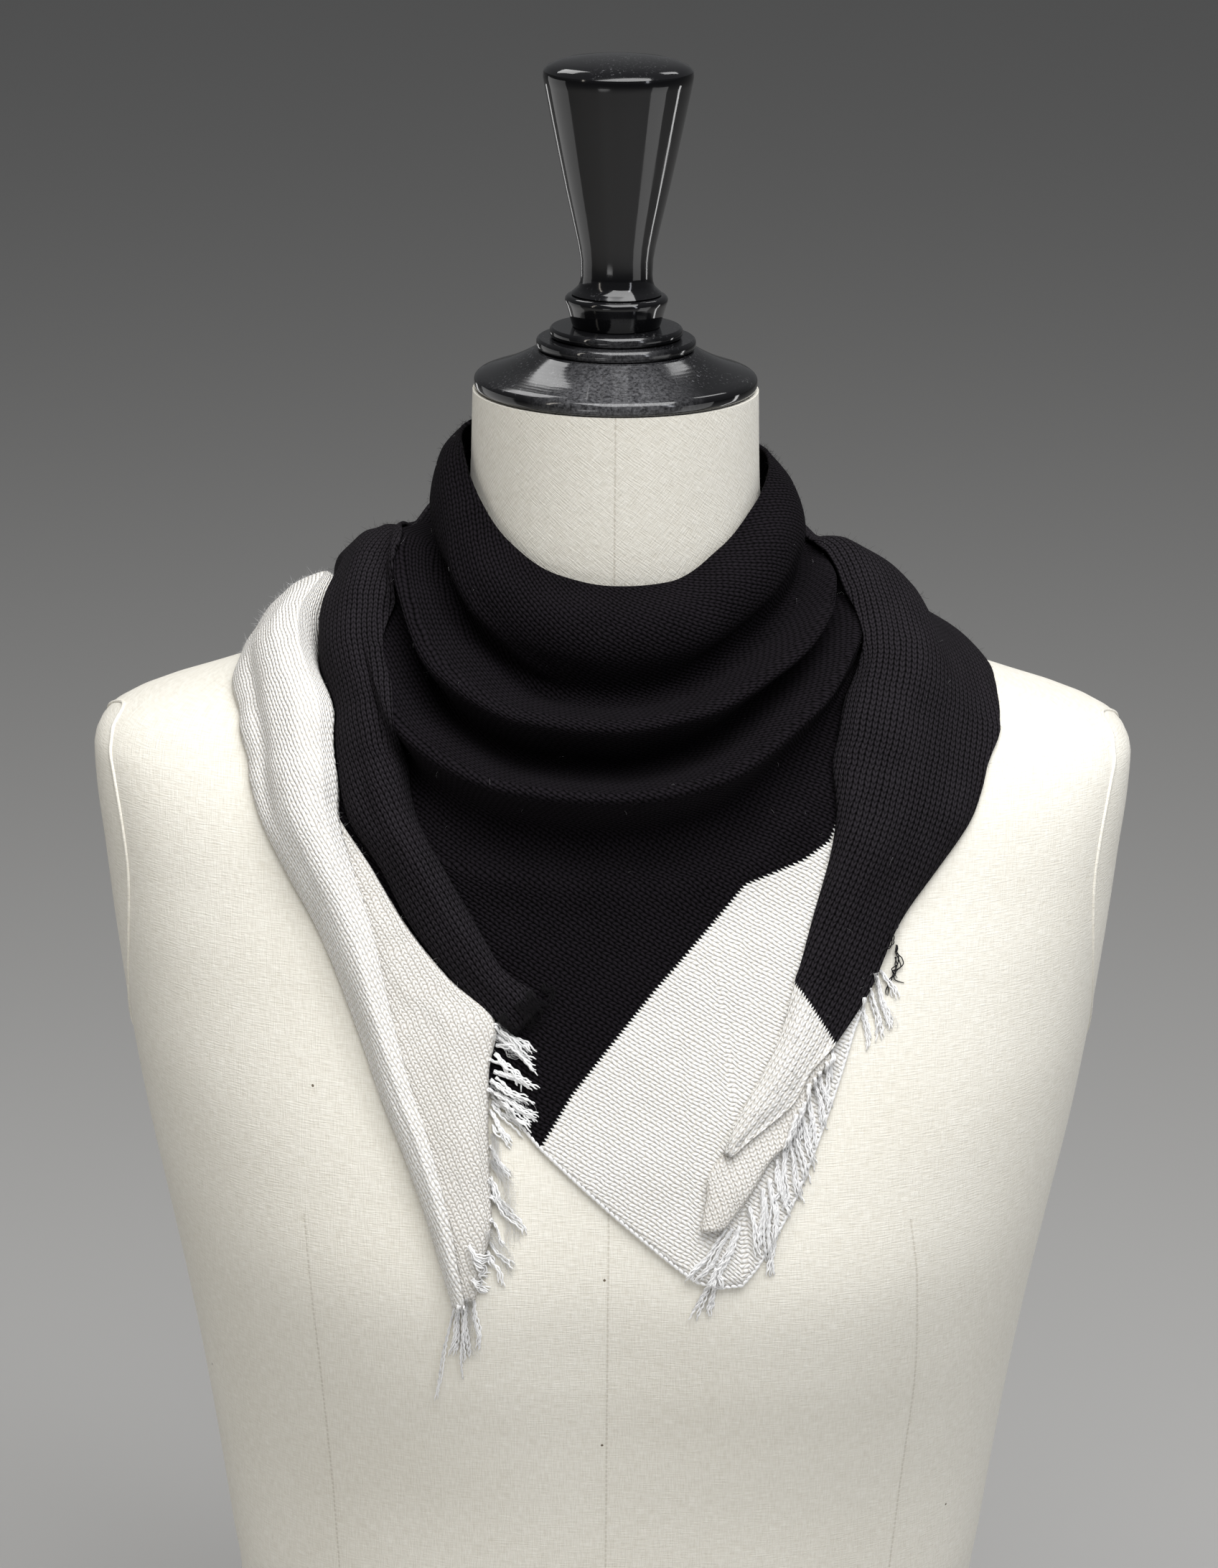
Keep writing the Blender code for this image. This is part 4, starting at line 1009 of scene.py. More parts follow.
def unwrap_coarse(points: Array) -> Array:
    """Flattens a coarse grid of points with the least stretch."""
    obj = lay_grid(points)
    mesh = obj.data
    mesh.uv_layers.new(name="flat")
    edit_all(obj)
    bpy.ops.mesh.quads_convert_to_tris()
    bpy.ops.uv.unwrap(method="MINIMUM_STRETCH", margin=0.0, iterations=40, no_flip=False)
    bpy.ops.object.mode_set(mode="OBJECT")
    places = np.empty(len(mesh.loops) * 2, dtype=np.float32)
    corners = np.empty(len(mesh.loops), dtype=np.int32)
    mesh.uv_layers[0].data.foreach_get("uv", places)
    mesh.loops.foreach_get("vertex_index", corners)
    flat = np.zeros((len(mesh.vertices), 2))
    flat[corners] = places.reshape(-1, 2)
    bpy.data.objects.remove(obj, do_unlink=True)
    bpy.data.meshes.remove(mesh)
    return flat.reshape(*points.shape[:2], 2)


def flatten_sheet(points: Array, coarse: tuple[int, int], anchor: tuple[float, float],
                  wale: tuple[float, float]) -> Array:
    """Flattens a sheet to the plane that it was knitted in.

    Args:
        points: the sheet in metres, (rows, columns, 3).
        coarse: how many rows and columns carry the flattening.
        anchor: the place whose stitches are lined up, as shares of the rows and columns.
        wale: which way the columns of stitches run there, as x and z.

    Returns:
        Places in metres, (rows, columns, 2), with the stitch columns along the second axis.
    """
    rows, columns = points.shape[:2]
    kept_rows = np.unique(np.linspace(0, rows - 1, coarse[0]).round().astype(int))
    kept_columns = np.unique(np.linspace(0, columns - 1, coarse[1]).round().astype(int))
    flat = unwrap_coarse(points[np.ix_(kept_rows, kept_columns)])
    along = np.stack([np.array([np.interp(np.arange(columns), kept_columns, row[:, k]) for row in flat])
                      for k in (0, 1)], axis=-1)
    whole = np.stack([np.array([np.interp(np.arange(rows), kept_rows, along[:, c, k])
                                for c in range(columns)]).T for k in (0, 1)], axis=-1)
    whole *= math.sqrt(grid_area(points) / grid_area(whole))
    i = min(max(int(anchor[0] * rows), 2), rows - 3)
    j = min(max(int(anchor[1] * columns), 2), columns - 3)
    frame_3d = np.stack((points[i, j + 2] - points[i, j - 2], points[i + 2, j] - points[i - 2, j]), axis=1)
    frame_2d = np.stack((whole[i, j + 2] - whole[i, j - 2], whole[i + 2, j] - whole[i - 2, j]), axis=1)
    wanted = np.array((wale[0], 0.0, wale[1]))
    share = np.linalg.lstsq(frame_3d[[0, 2]], wanted[[0, 2]], rcond=None)[0]
    run = frame_2d @ share
    return (whole - whole[i, j]) @ turned(math.degrees(math.atan2(run[0], run[1]))).T


class Sheet(NamedTuple):
    """One made stretch of cloth: its object, outer skin and flat places."""

    obj: Object
    skin: Array
    flat: Array

    def cut(self) -> tuple[float, float, float]:
        """Width, length and area in metres of the smallest rectangle that holds its flat shape."""
        flat = self.flat.reshape(-1, 2)
        best = (math.inf, 0.0, 0.0)
        for degrees in range(0, 90, 3):
            reach = np.ptp(flat @ turned(degrees), axis=0)
            if reach[0] * reach[1] < best[0]:
                best = (float(reach[0] * reach[1]), float(min(reach)), float(max(reach)))
        return best[1], best[2], min(grid_area(self.skin), 0.98 * best[0])


def sew_sheet(name: str, skin: Array, flat: Array, line: Array, finish: Material,
              pull: float = 1.0) -> Sheet:
    """Makes a thin shell of cloth from its outer skin.

    Args:
        name: the piece's name.
        skin: the outer skin in metres, (rows, columns, 3).
        flat: the knit's flat places in metres, (rows, columns, 2).
        line: signed distance from the colour line in metres, above 0 on the white side.
        finish: the knit.
        pull: how many times closer than elsewhere its columns of stitches are drawn.

    Returns:
        The sheet, with its wall grown inwards.
    """
    obj = lay_grid(skin)
    write_uv(obj, "knit", flat.reshape(-1, 2) * (pull, 1.0))
    write_attribute(obj, "colour_line", line.reshape(-1))
    wall = obj.modifiers.new("wall", "SOLIDIFY")
    wall.thickness = WALL * MM
    wall.offset = -1.0
    apply_modifiers(obj)
    finish_mesh(obj, name, finish)
    return Sheet(obj, skin, flat)


@dataclass
class Ribbon:
    """A stretch of cloth through stations along the bust, over the cloth already there."""

    surface: FormSurface
    stations: Sequence[Station]
    columns: int
    rows: int
    first: float = 0.0
    edge: float = 4.0
    stiff: float = 2.4
    creases: tuple[Crease, ...] = ()
    seed: int = 1
    shares: Array | None = None
    shares_end: float = 0.0

    def places(self) -> Array:
        """The columns' places, as station numbers and parts of one, evenly spaced in length."""
        fine = np.linspace(self.first, len(self.stations) - 1, 400)
        middle = np.array([(0.5 * (s.inner_angle + s.outer_angle), 0.5 * (s.inner_height + s.outer_height))
                           for s in self.stations])
        path = rounded_through(middle, fine)
        length = run_lengths(self.surface.at(path[:, 0], path[:, 1]))
        return np.interp(np.linspace(0.0, length[-1], self.columns), length, fine)

    def row_shares(self, places: Array) -> Array:
        """Each row's share across the ribbon, (rows, columns)."""
        even = np.repeat(np.linspace(0.0, 1.0, self.rows)[:, None], len(places), axis=1)
        if self.shares is None:
            return even
        mix = eased((places - self.first) / self.shares_end)[None, :]
        return self.shares[:, None] * (1.0 - mix) + even * mix

    def bases(self, places: Array, shares: Array) -> tuple[Array, Array, Array]:
        """The ribbon's seat on the bust.

        Args:
            places: the columns' places.
            shares: the rows' shares, (rows, columns).

        Returns:
            The seat's places, its outward directions, and the wanted lifts in mm.
        """
        inner = rounded_through([(s.inner_angle, s.inner_height) for s in self.stations], places)
        outer = rounded_through([(s.outer_angle, s.outer_height) for s in self.stations], places)
        section = rounded_through([s.lifts for s in self.stations], places)
        start = self.surface.at(inner[:, 0], inner[:, 1])
        end = self.surface.at(outer[:, 0], outer[:, 1])
        _, lean = self.surface.nearest(0.5 * (start + end))
        lean = spread(lean, (2, 0), np.mean)
        lean /= np.linalg.norm(lean, axis=1, keepdims=True)
        chord = start[None] + (end - start)[None] * shares[..., None]
        on_form, normal = self.surface.nearest(chord)
        above = np.sum((chord - on_form) * normal, axis=-1, keepdims=True)
        bases = np.where(above > 0, chord, on_form)
        leans = np.broadcast_to(lean[None], bases.shape)
        lifts = np.stack([smooth_between(SECTION_PLACES, section[c], shares[:, c])
                          for c in range(len(places))], axis=1)
        return bases, leans, lifts

    def skin(self, places: Array, shares: Array, pile: Pile) -> Array:
        """The ribbon's outer skin.

        Args:
            places: the columns' places.
            shares: the rows' shares, (rows, columns).
            pile: the cloth beneath it.

        Returns:
            Places in metres, (rows, columns, 3).
        """
        bases, leans, lifts = self.bases(places, shares)
        heap = pile.elevation(bases, leans)
        resting = np.where(heap > 0.0, heap + WALL + LAYER_GAP, REST_LIFT)
        gaps = [float(np.linalg.norm(np.diff(bases, axis=k), axis=-1).mean()) / MM for k in (0, 1)]
        reach = (max(1, round(self.stiff / gaps[0])), max(1, round(self.stiff / gaps[1])))
        soft = spread(spread(resting, reach, np.max), reach, np.mean)
        rest = np.maximum(resting, soft)
        lifts = lifts - crease_depth(bases, places, np.linspace(0.0, 1.0, len(shares)), self.creases)
        lifts = lifts + ripples(bases, 26.0, 0.55, self.seed) + ripples(bases, 9.0, 0.18, self.seed + 9)
        lifts = np.maximum(lifts, rest)
        arc = run_lengths(bases) / MM
        inside = np.clip(np.minimum(arc, arc[-1] - arc) / self.edge, 0.0, 1.0)
        lifts = rest + (lifts - rest) * np.sqrt(1.0 - (1.0 - inside) ** 2)
        return bases + leans * (lifts * MM)[..., None]


# ---- the creases ----

# Along the drape in degrees, down it by fold number (8 is the bib's top, 9 its hem).
DRAPE_CREASES = (
    Crease((-38, -15, 0, 22, 46), (8.03, 8.02, 8.02, 8.03, 8.0), 7.0, -1.7),
    Crease((-62, -45, -32, -20, -8), (2.3, 2.55, 2.9, 3.05, 3.1), 3.6, 1.9),
    Crease((-60, -44, -30, -16), (1.5, 1.9, 2.35, 2.7), 4.5, -1.3),
    Crease((-70, -55, -38, -20), (4.9, 4.95, 5.05, 5.1), 3.0, 1.2),
    Crease((18, 38, 58, 74), (2.6, 2.5, 2.3, 2.0), 3.4, 1.5),
    Crease((26, 44, 62, 78), (4.55, 4.45, 4.3, 4.2), 3.2, 1.2),
    Crease((34, 52, 70), (6.5, 6.3, 6.1), 3.6, 1.1),
    Crease((-30, -5, 20), (7.3, 7.35, 7.3), 4.0, 0.9),
)
LEFT_TAIL_CREASES = (
    Crease((6.0, 8.0, 10.5, 13.0, 15.5), (0.36, 0.3, 0.26, 0.26, 0.3), 3.6, 1.6),
    Crease((2.0, 3.5, 5.0), (0.4, 0.45, 0.4), 5.0, 1.6),
)
LEFT_WHITE_CREASES = (
    Crease((3.6, 5.0, 6.6, 8.6), (0.72, 0.75, 0.79, 0.84), 2.8, 2.4),
)


# ---- the front drape ----

@dataclass
class FrontDrape:
    """Neck roll, two swags and bib, knitted in one, and its two ends behind the shoulders."""

    surface: FormSurface
    half_turn: float = 125.0
    columns: int = 251
    fold_steps: int = 80
    bib_rows: int = 44
    creases: tuple[Crease, ...] = ()

    def table(self, values: Sequence[float], angles: Array) -> Array:
        """Reads one of the drape's tables at angles."""
        return smooth_between(DRAPE_ANGLES, np.asarray(values, float), angles)

    def bib_points(self, angles: Array, heights: Array) -> Array:
        """The flat bib: lifted at its top, resting on the bust at its hem.

        Args:
            angles: one angle for each column.
            heights: heights in mm, (rows, columns).

        Returns:
            Places in metres, (rows, columns, 3).
        """
        top = self.table(BIB_TOP_HEIGHTS, angles)
        hem = self.hem(angles)
        share = np.clip((top - heights) / np.maximum(top - hem, 1.0), 0.0, 1.0)
        lift = REST_LIFT + (self.table(BIB_TOP_LIFTS, angles) - REST_LIFT) * (1 - share) ** 1.5
        seat = self.surface.at(np.broadcast_to(angles, heights.shape), heights)
        _, lean = self.surface.nearest(seat)
        return seat + lean * (lift * MM)[..., None]

    def hem(self, angles: Array) -> Array:
        """Height of the bib's lower edge, never above its top."""
        places, heights = zip(*HEM)
        hem = np.interp(angles, places, heights)
        return np.minimum(hem, self.table(BIB_TOP_HEIGHTS, angles) - 2.0)

    def rows_of(self, angles: Array) -> Array:
        """Outer skin of the drape's columns at angles, (rows, columns, 3)."""
        top = self.table(BIB_TOP_HEIGHTS, angles)
        folds = [on_cylinder(angles, self.table(fold.radii, angles), self.table(fold.heights, angles))
                 for fold in FOLDS]
        folds.append(self.bib_points(angles, top[None])[0])
        control = np.stack(folds).reshape(len(folds), -1)
        places = np.linspace(0.0, 8.0, self.fold_steps + 1)
        rolls = rounded_through(control, places).reshape(len(places), len(angles), 3)
        rolls = self.surface.cleared(rolls, REST_LIFT)
        share = np.linspace(0.0, 1.0, self.bib_rows + 1)[1:, None]
        bib = self.bib_points(angles, top + (self.hem(angles) - top) * share)
        return np.concatenate((rolls, bib))

    def row_places(self) -> Array:
        """Each row's place: fold numbers down to 8, and 9 at the hem."""
        return np.concatenate((np.linspace(0.0, 8.0, self.fold_steps + 1),
                               8.0 + np.linspace(0.0, 1.0, self.bib_rows + 1)[1:]))

    def end_shares(self, angle: float) -> Array:
        """Each row's share of the way down the column at one end."""
        length = run_lengths(self.rows_of(np.array([angle]))[:, 0])
        return length / length[-1]

    def skin(self, ends: Sequence["Ribbon"]) -> tuple[Array, Array]:
        """The whole drape, easing into the ribbon that carries each end on.

        Args:
            ends: the ribbon at the left end and the one at the right.

        Returns:
            The columns' angles, and the outer skin in metres, (rows, columns, 3).
        """
        angles = np.linspace(-self.half_turn, self.half_turn, self.columns)
        skin = self.rows_of(angles)
        rows = self.row_places()
        depth = crease_depth(skin, angles, rows, self.creases)
        depth -= ripples(skin, 30.0, 0.6, 4) + ripples(skin, 10.0, 0.22, 5)
        calm = eased((rows - 8.0) / 1.0)[:, None]
        skin = skin - grid_normals(skin) * (depth * (1.0 - 0.5 * calm) * MM)[..., None]
        skin = self.surface.cleared(skin, REST_LIFT - 0.2)
        start = max(DRAPE_ANGLES)
        for side, ribbon in zip((-1.0, 1.0), ends):
            picked = np.flatnonzero(side * angles > start)
            near, far = ribbon.stations[0].inner_angle, ribbon.stations[1].inner_angle
            places = np.clip((angles[picked] - near) / (far - near), 0.0, 1.0)
            shares = np.repeat(ribbon.shares[:, None], len(picked), axis=1)
            order = np.argsort(places)
            wrap = np.empty((len(rows), len(picked), 3))
            wrap[:, order] = ribbon.skin(places[order], shares[:, order], Pile(()))
            mix = eased((side * angles[picked] - start) / (self.half_turn - start))[None, :, None]
            skin[:, picked] = skin[:, picked] * (1 - mix) + wrap * mix
        return angles, skin

    def colour_line(self, angles: Array, skin: Array) -> Array:
        """Signed distance in metres from the knitted-in line, above 0 on the white side."""
        radius = np.hypot(skin[..., 0], skin[..., 1] - NECK_AXIS_Y * MM)
        x = np.radians(angles)[None, :] * radius
        z = skin[..., 2]
        places, heights = np.array(COLOUR_LINE).T
        knots = np.stack((np.radians(places) * np.interp(places, angles, radius[-10]), heights * MM), axis=1)
        best = np.full(x.shape, 1e3)
        sign = np.ones(x.shape)
        for a, b in zip(knots, knots[1:]):
            run = b - a
            t = np.clip(((x - a[0]) * run[0] + (z - a[1]) * run[1]) / (run @ run), 0.0, 1.0)
            dx, dz = x - (a[0] + t * run[0]), z - (a[1] + t * run[1])
            far = np.hypot(dx, dz)
            side = np.where(dx * run[1] - dz * run[0] > 0, 1.0, -1.0)
            closer = far < best - 1e-9
            best = np.where(closer, far, best)
            sign = np.where(closer, side, sign)
        hidden = self.row_places()[:, None] < 7.6
        return np.where(hidden, -np.abs(best) - 0.004, sign * best)


# ---- the whole scarf ----

NO_LINE = 0.02            # metres from the colour line, where a sheet has one colour alone


@dataclass
class Scarf:
    """The wound scarf: drape, wraps behind the nape, and two tails with white ends."""

    surface: FormSurface
    face: Material
    ribbed: Material
    reverse: Material
    sheets: dict[str, Sheet] = field(default_factory=dict)
    angles: Array | None = None

    def build(self) -> None:
        """Makes every sheet in the order in which it was wound."""
        drape = FrontDrape(self.surface, creases=DRAPE_CREASES)
        rows = len(drape.row_places())
        right = Ribbon(self.surface, UNDER_WRAP + RIGHT_TAIL, 190, rows, first=1.0, edge=6.0, stiff=5.0,
                       seed=11, shares=drape.end_shares(-100.0), shares_end=1.5)
        left = Ribbon(self.surface, OVER_WRAP + LEFT_TAIL, 150, rows, first=1.0, edge=8.5, seed=21,
                      creases=LEFT_TAIL_CREASES, shares=drape.end_shares(100.0), shares_end=1.5)
        self.angles, front = angles, front = drape.skin((right, left))
        self.sew("scarf_front", front, drape.colour_line(angles, front), self.face, (31, 63), (0.8, 0.5),
                 (0.866, -0.5))
        right_reverse = self.lay(Ribbon(self.surface, RIGHT_REVERSE, 48, 26, edge=1.5, seed=12), Pile([front]))
        self.sew("scarf_right_reverse", right_reverse, np.full(right_reverse.shape[:2], NO_LINE), self.reverse,
                 (9, 17), (0.5, 0.5), (-0.3, 0.95))
        right_skin = self.lay(right, Pile([front, right_reverse]))
        self.sew("scarf_right_tail", right_skin, self.line_across(right, right_skin), self.ribbed, (13, 61),
                 (0.5, 0.72), (0.4, 0.92), 1.3)
        left_reverse = self.lay(Ribbon(self.surface, LEFT_REVERSE, 90, 36, edge=1.5, seed=22), Pile([front]))
        self.sew("scarf_left_reverse", left_reverse, np.full(left_reverse.shape[:2], NO_LINE), self.reverse,
                 (9, 25), (0.5, 0.4), (0.57, -0.82))
        left_skin = self.lay(left, Pile([front, right_skin]))
        self.sew("scarf_left_tail", left_skin, np.full(left_skin.shape[:2], -NO_LINE), self.ribbed, (13, 51),
                 (0.5, 0.75), (0.5, -0.866), 1.4)
        white = Ribbon(self.surface, LEFT_WHITE, 190, 44, edge=5.0, creases=LEFT_WHITE_CREASES, seed=23)
        white_skin, line = self.join_white(white, left, left_skin, Pile([front, left_reverse, right_skin]))
        self.sew("scarf_left_white", white_skin, line, self.face, (9, 61), (0.5, 0.6), (0.57, -0.82))

    def lay(self, ribbon: Ribbon, pile: Pile) -> Array:
        """Lays one ribbon over a pile and returns its outer skin."""
        places = ribbon.places()
        return ribbon.skin(places, ribbon.row_shares(places), pile)

    def sew(self, name: str, skin: Array, line: Array, finish: Material, coarse: tuple[int, int],
            anchor: tuple[float, float], wale: tuple[float, float], pull: float = 1.0) -> None:
        """Flattens one skin, makes its sheet and keeps it by name.

        Args:
            name: the sheet's name.
            skin: its outer skin.
            line: signed distance from the colour line.
            finish: its knit.
            coarse: rows and columns that carry the flattening.
            anchor: the place whose stitches are lined up.
            wale: which way the columns of stitches run there.
            pull: how many times closer than elsewhere the pull has drawn them together.
        """
        flat = flatten_sheet(skin, coarse, anchor, wale)
        self.sheets[name] = sew_sheet(name, skin, flat, line, finish, pull)

    def line_across(self, ribbon: Ribbon, skin: Array) -> Array:
        """Signed distance along the right tail from the station where it turns white."""
        places, run = ribbon.places(), run_lengths(skin, axis=1)
        start = np.array([np.interp(RIGHT_COLOUR_STATION, places, row) for row in run])
        return run - start[:, None]

    def join_white(self, white: Ribbon, black: Ribbon, black_skin: Array, pile: Pile) -> tuple[Array, Array]:
        """Lays the left tail's white side with its inner edge on the black side's edge.

        Args:
            white: the white ribbon.
            black: the black ribbon that it was knitted on to.
            black_skin: the black ribbon's outer skin.
            pile: the cloth beneath the white side.

        Returns:
            The white side's outer skin, and its signed distance from the colour line.
        """
        places = white.places()
        skin = white.skin(places, white.row_shares(places), pile)
        black_places = black.places()
        at = places + len(OVER_WRAP) - 1
        target = np.stack([np.interp(at, black_places, black_skin[-1, :, k]) for k in range(3)], axis=-1)
        held = eased(LEFT_SHARED_STATIONS - places)
        fall = (1.0 - white.row_shares(places)) ** 2
        skin = skin + (target - skin[0])[None] * (fall * held[None])[..., None]
        skin = self.surface.cleared(skin, REST_LIFT - 0.2)
        line = (run_lengths(skin) - 0.0012) * 4.0 * held[None] + NO_LINE * (1.0 - held[None])
        return skin, line


# ---- loose yarn and nap ----

class Clump(NamedTuple):
    """A bunch of loose ends, from its root to its tip as (angle, height) on the bust."""

    root: tuple[float, float]
    tip: tuple[float, float]
    strands: int
    fan: float = 2.6       # mm the tips spread over
    curl: float = 0.7      # mm of waviness
    rise: float = 1.2      # mm it bows away from the cloth


def clumps(*rows: tuple[float, ...]) -> tuple[Clump, ...]:
    """Names the numbers of a fringe's table: the root, the tip, and the rest of each clump."""
    return tuple(Clump(row[:2], row[2:4], *row[4:]) for row in rows)


LEFT_EDGE_CLUMPS = clumps(
    (-19.5, 450, -12.5, 440.5, 6, 3.0), (-19.0, 446, -12.0, 434, 5, 2.2, 0.5),
    (-19.4, 449, -13.4, 437, 6, 3.4, 0.9, 2.2), (-19.0, 440, -13.4, 430, 5, 3.0, 1.3, 1.8),
    (-19.2, 431, -12.4, 423, 5, 3.0, 0.9, 1.8), (-18.8, 426, -12.8, 414, 5, 3.0, 1.1, 1.6),
    (-19.0, 443, -14.0, 440, 4, 2.0, 2.2, 2.2), (-19.6, 438, -16.2, 433, 4, 2.0, 1.8, 1.6),
    (-18.8, 434, -11.8, 428.5, 6, 3.2, 0.6), (-18.4, 432, -14.0, 425, 3, 1.6, 1.2),
    (-19.4, 428, -11.4, 418, 6, 2.6, 0.5), (-18.6, 424, -11.6, 416.5, 4, 2.4, 1.1),
    (-18.6, 423, -13.0, 411, 5, 3.0, 0.9), (-18.8, 421, -15.2, 408, 5, 3.0, 0.6),
    (-18.2, 416, -15.6, 411, 3, 2.0, 1.6), (-18.2, 409, -15.0, 399.5, 3, 1.4, 0.6, 0.8),
    (-17.8, 407, -14.6, 397.5, 2, 1.6, 0.9, 0.8), (-17.8, 398, -13.6, 382.5, 5, 4.0, 1.4, 1.6),
    (-17.4, 392, -12.0, 379.5, 4, 3.4, 1.6, 1.4), (-17.2, 384, -15.3, 374, 3, 1.2, 0.7, 0.8),
    (-17.2, 375, -13.6, 366, 4, 2.0, 1.0), (-17.4, 372, -14.8, 359.5, 3, 1.8, 0.9),
    (-19.8, 375, -17.0, 366, 6, 3.0, 2.4, 2.2), (-19.0, 370, -17.6, 361, 5, 3.0, 2.0, 1.8),
    (-19.2, 363, -17.0, 356, 5, 3.0, 0.9, 1.0),
)
LEFT_TIP_CLUMPS = clumps(
    (-20.8, 354, -22.0, 332, 6, 3.4, 0.6), (-20.0, 354, -20.4, 327, 5, 2.6, 0.7),
    (-19.0, 354, -18.4, 334, 5, 2.8, 0.6), (-20.4, 352, -21.4, 321, 3, 1.0, 0.5, 0.8),
    (-21.4, 352, -25.6, 311, 3, 1.0, 1.1, 1.2),
)
RIGHT_EDGE_CLUMPS = clumps(
    (34.6, 441, 33.6, 430.5, 4, 2.0), (33.2, 437, 33.0, 426, 5, 2.4, 1.0),
    (32.0, 434, 32.4, 420.0, 5, 2.8, 0.7), (31.2, 432, 31.6, 414.5, 6, 3.0, 0.6),
    (30.2, 430, 29.6, 408, 6, 3.2, 0.9), (29.4, 424, 28.2, 410.5, 5, 2.8, 0.7),
    (28.6, 422, 29.4, 401, 6, 3.2, 0.8), (28.0, 420, 26.0, 405, 5, 3.0, 0.8),
    (27.4, 416, 28.2, 395, 6, 3.4, 0.7), (26.6, 412, 27.4, 390, 5, 3.0, 0.9),
    (25.8, 408, 25.4, 388, 6, 3.2, 0.8), (24.8, 405, 24.4, 390, 4, 2.6, 0.8),
    (24.6, 402, 26.0, 385, 5, 3.0, 0.7), (23.4, 398, 23.4, 376, 6, 3.4, 0.9),
    (22.4, 395, 21.6, 375, 5, 3.0, 0.6), (22.6, 392, 22.8, 365, 6, 3.2, 0.7),
    (20.4, 389, 21.4, 371, 5, 3.0, 0.8), (24.2, 388, 22.8, 364.5, 4, 2.4, 0.9),
    (17.2, 381, 11.4, 362, 5, 2.0, 0.6), (18.0, 381, 13.4, 362, 6, 3.0, 0.9),
    (19.0, 382, 16.6, 366, 5, 3.0, 0.9), (18.6, 380, 15.4, 362, 5, 3.0, 0.7),
)
RIGHT_TIP_CLUMPS = clumps(
    (15.6, 367, 12.6, 347, 6, 3.4, 0.5), (15.4, 366, 14.6, 348.5, 6, 3.0, 0.6),
    (16.0, 367, 16.6, 358.5, 3, 1.4, 0.6),
)
RIGHT_TUFT_CLUMPS = clumps(
    (43.6, 467, 44.6, 457, 5, 3.0, 0.7), (42.8, 465, 43.0, 446, 6, 4.0, 0.6),
    (41.6, 461, 41.2, 443.5, 6, 3.6, 0.8), (40.2, 458, 39.4, 441, 5, 3.0, 0.7),
)
BLACK_CLUMPS = clumps(
    (47.4, 482, 45.4, 472, 2, 2.6, 2.6, 2.0), (46.6, 475, 44.8, 463, 3, 2.6, 2.8, 2.0),
    (46.0, 471, 44.6, 458, 2, 2.0, 2.2, 1.6),
)
BLACK_WISPS = clumps(
    (-14.6, 461, -11.6, 453, 40, 7.0, 2.2, 2.4), (-16.2, 457, -12.8, 448, 44, 8.0, 2.4, 2.4),
    (-18.6, 453, -15.4, 445, 40, 7.0, 2.2, 2.0), (-12.4, 463, -9.6, 460, 24, 5.0, 2.0, 1.6),
)
WHITE_WISPS = clumps(
    (-18.0, 413, -15.0, 396, 34, 6.0, 2.4, 2.0), (-17.6, 404, -14.4, 384, 30, 6.0, 2.6, 2.0),
    (-17.2, 393, -13.6, 374, 30, 7.0, 2.8, 2.0), (-17.4, 380, -14.4, 362, 26, 6.0, 2.4, 1.8),
    (-19.6, 446, -14.0, 438, 20, 6.0, 2.2, 2.4), (-19.0, 430, -13.0, 420, 20, 6.0, 2.2, 2.0),
    (-20.0, 356, -20.6, 330, 20, 6.0, 2.0, 1.4), (16.0, 368, 14.0, 350, 18, 5.0, 1.8, 1.2),
    (28.0, 420, 26.4, 402, 16, 6.0, 2.2, 1.4), (42.6, 466, 42.2, 446, 18, 6.0, 2.2, 1.4),
)
SELVEDGE_ANGLES = (-17.5, 52.0)
COURSE = 2.3
YARN_RADIUS = 0.32        # a loose two-ply end, then a single ply, then a wisp of a few fibres
PLY_RADIUS = 0.22
WISP_RADIUS = 0.05
CRIMP = 3.1                # the wave that a row of stitches leaves in unravelled yarn


class Tube(NamedTuple):
    """A strand: its middle line in metres, and its radius in mm at each place."""

    line: Array
    radii: Array


def sew_tubes(name: str, tubes: Sequence[Tube], sides: int, yarn: Material) -> Object:
    """Joins many strands in one mesh, with the yarn's UV map.

    Args:
        name: the piece's name.
        tubes: the strands.
        sides: how many faces each has round it.
        yarn: the material.

    Returns:
        The strands' object.
    """
    points, faces, flat = [], [], []
    turn = np.linspace(0.0, 2 * math.pi, sides, endpoint=False)
    for line, radii in tubes:
        start = len(points)
        ahead = np.gradient(line, axis=0)
        ahead /= np.maximum(np.linalg.norm(ahead, axis=1, keepdims=True), 1e-12)
        side = np.cross(ahead, (0.02, -1.0, 0.31))
        side /= np.maximum(np.linalg.norm(side, axis=1, keepdims=True), 1e-12)
        over = np.cross(ahead, side)
        ring = side[:, None] * np.cos(turn)[None, :, None] + over[:, None] * np.sin(turn)[None, :, None]
        points.extend((line[:, None] + ring * (radii * MM)[:, None, None]).reshape(-1, 3).tolist())
        flat.extend((k / sides, far) for far in run_lengths(line) for k in range(sides))
        for i in range(len(line) - 1):
            for j in range(sides):
                low, high = start + i * sides + j, start + i * sides + (j + 1) % sides
                faces.append((low, high, high + sides, low + sides))
        faces.append(tuple(range(start + sides - 1, start - 1, -1)))
        faces.append(tuple(range(len(points) - sides, len(points))))
    mesh = bpy.data.meshes.new(name)
    mesh.from_pydata(points, [], faces)
    obj = bpy.data.objects.new(name, mesh)
    bpy.context.collection.objects.link(obj)
    write_uv(obj, "yarn", np.array(flat))
    finish_mesh(obj, name, yarn)
    return obj


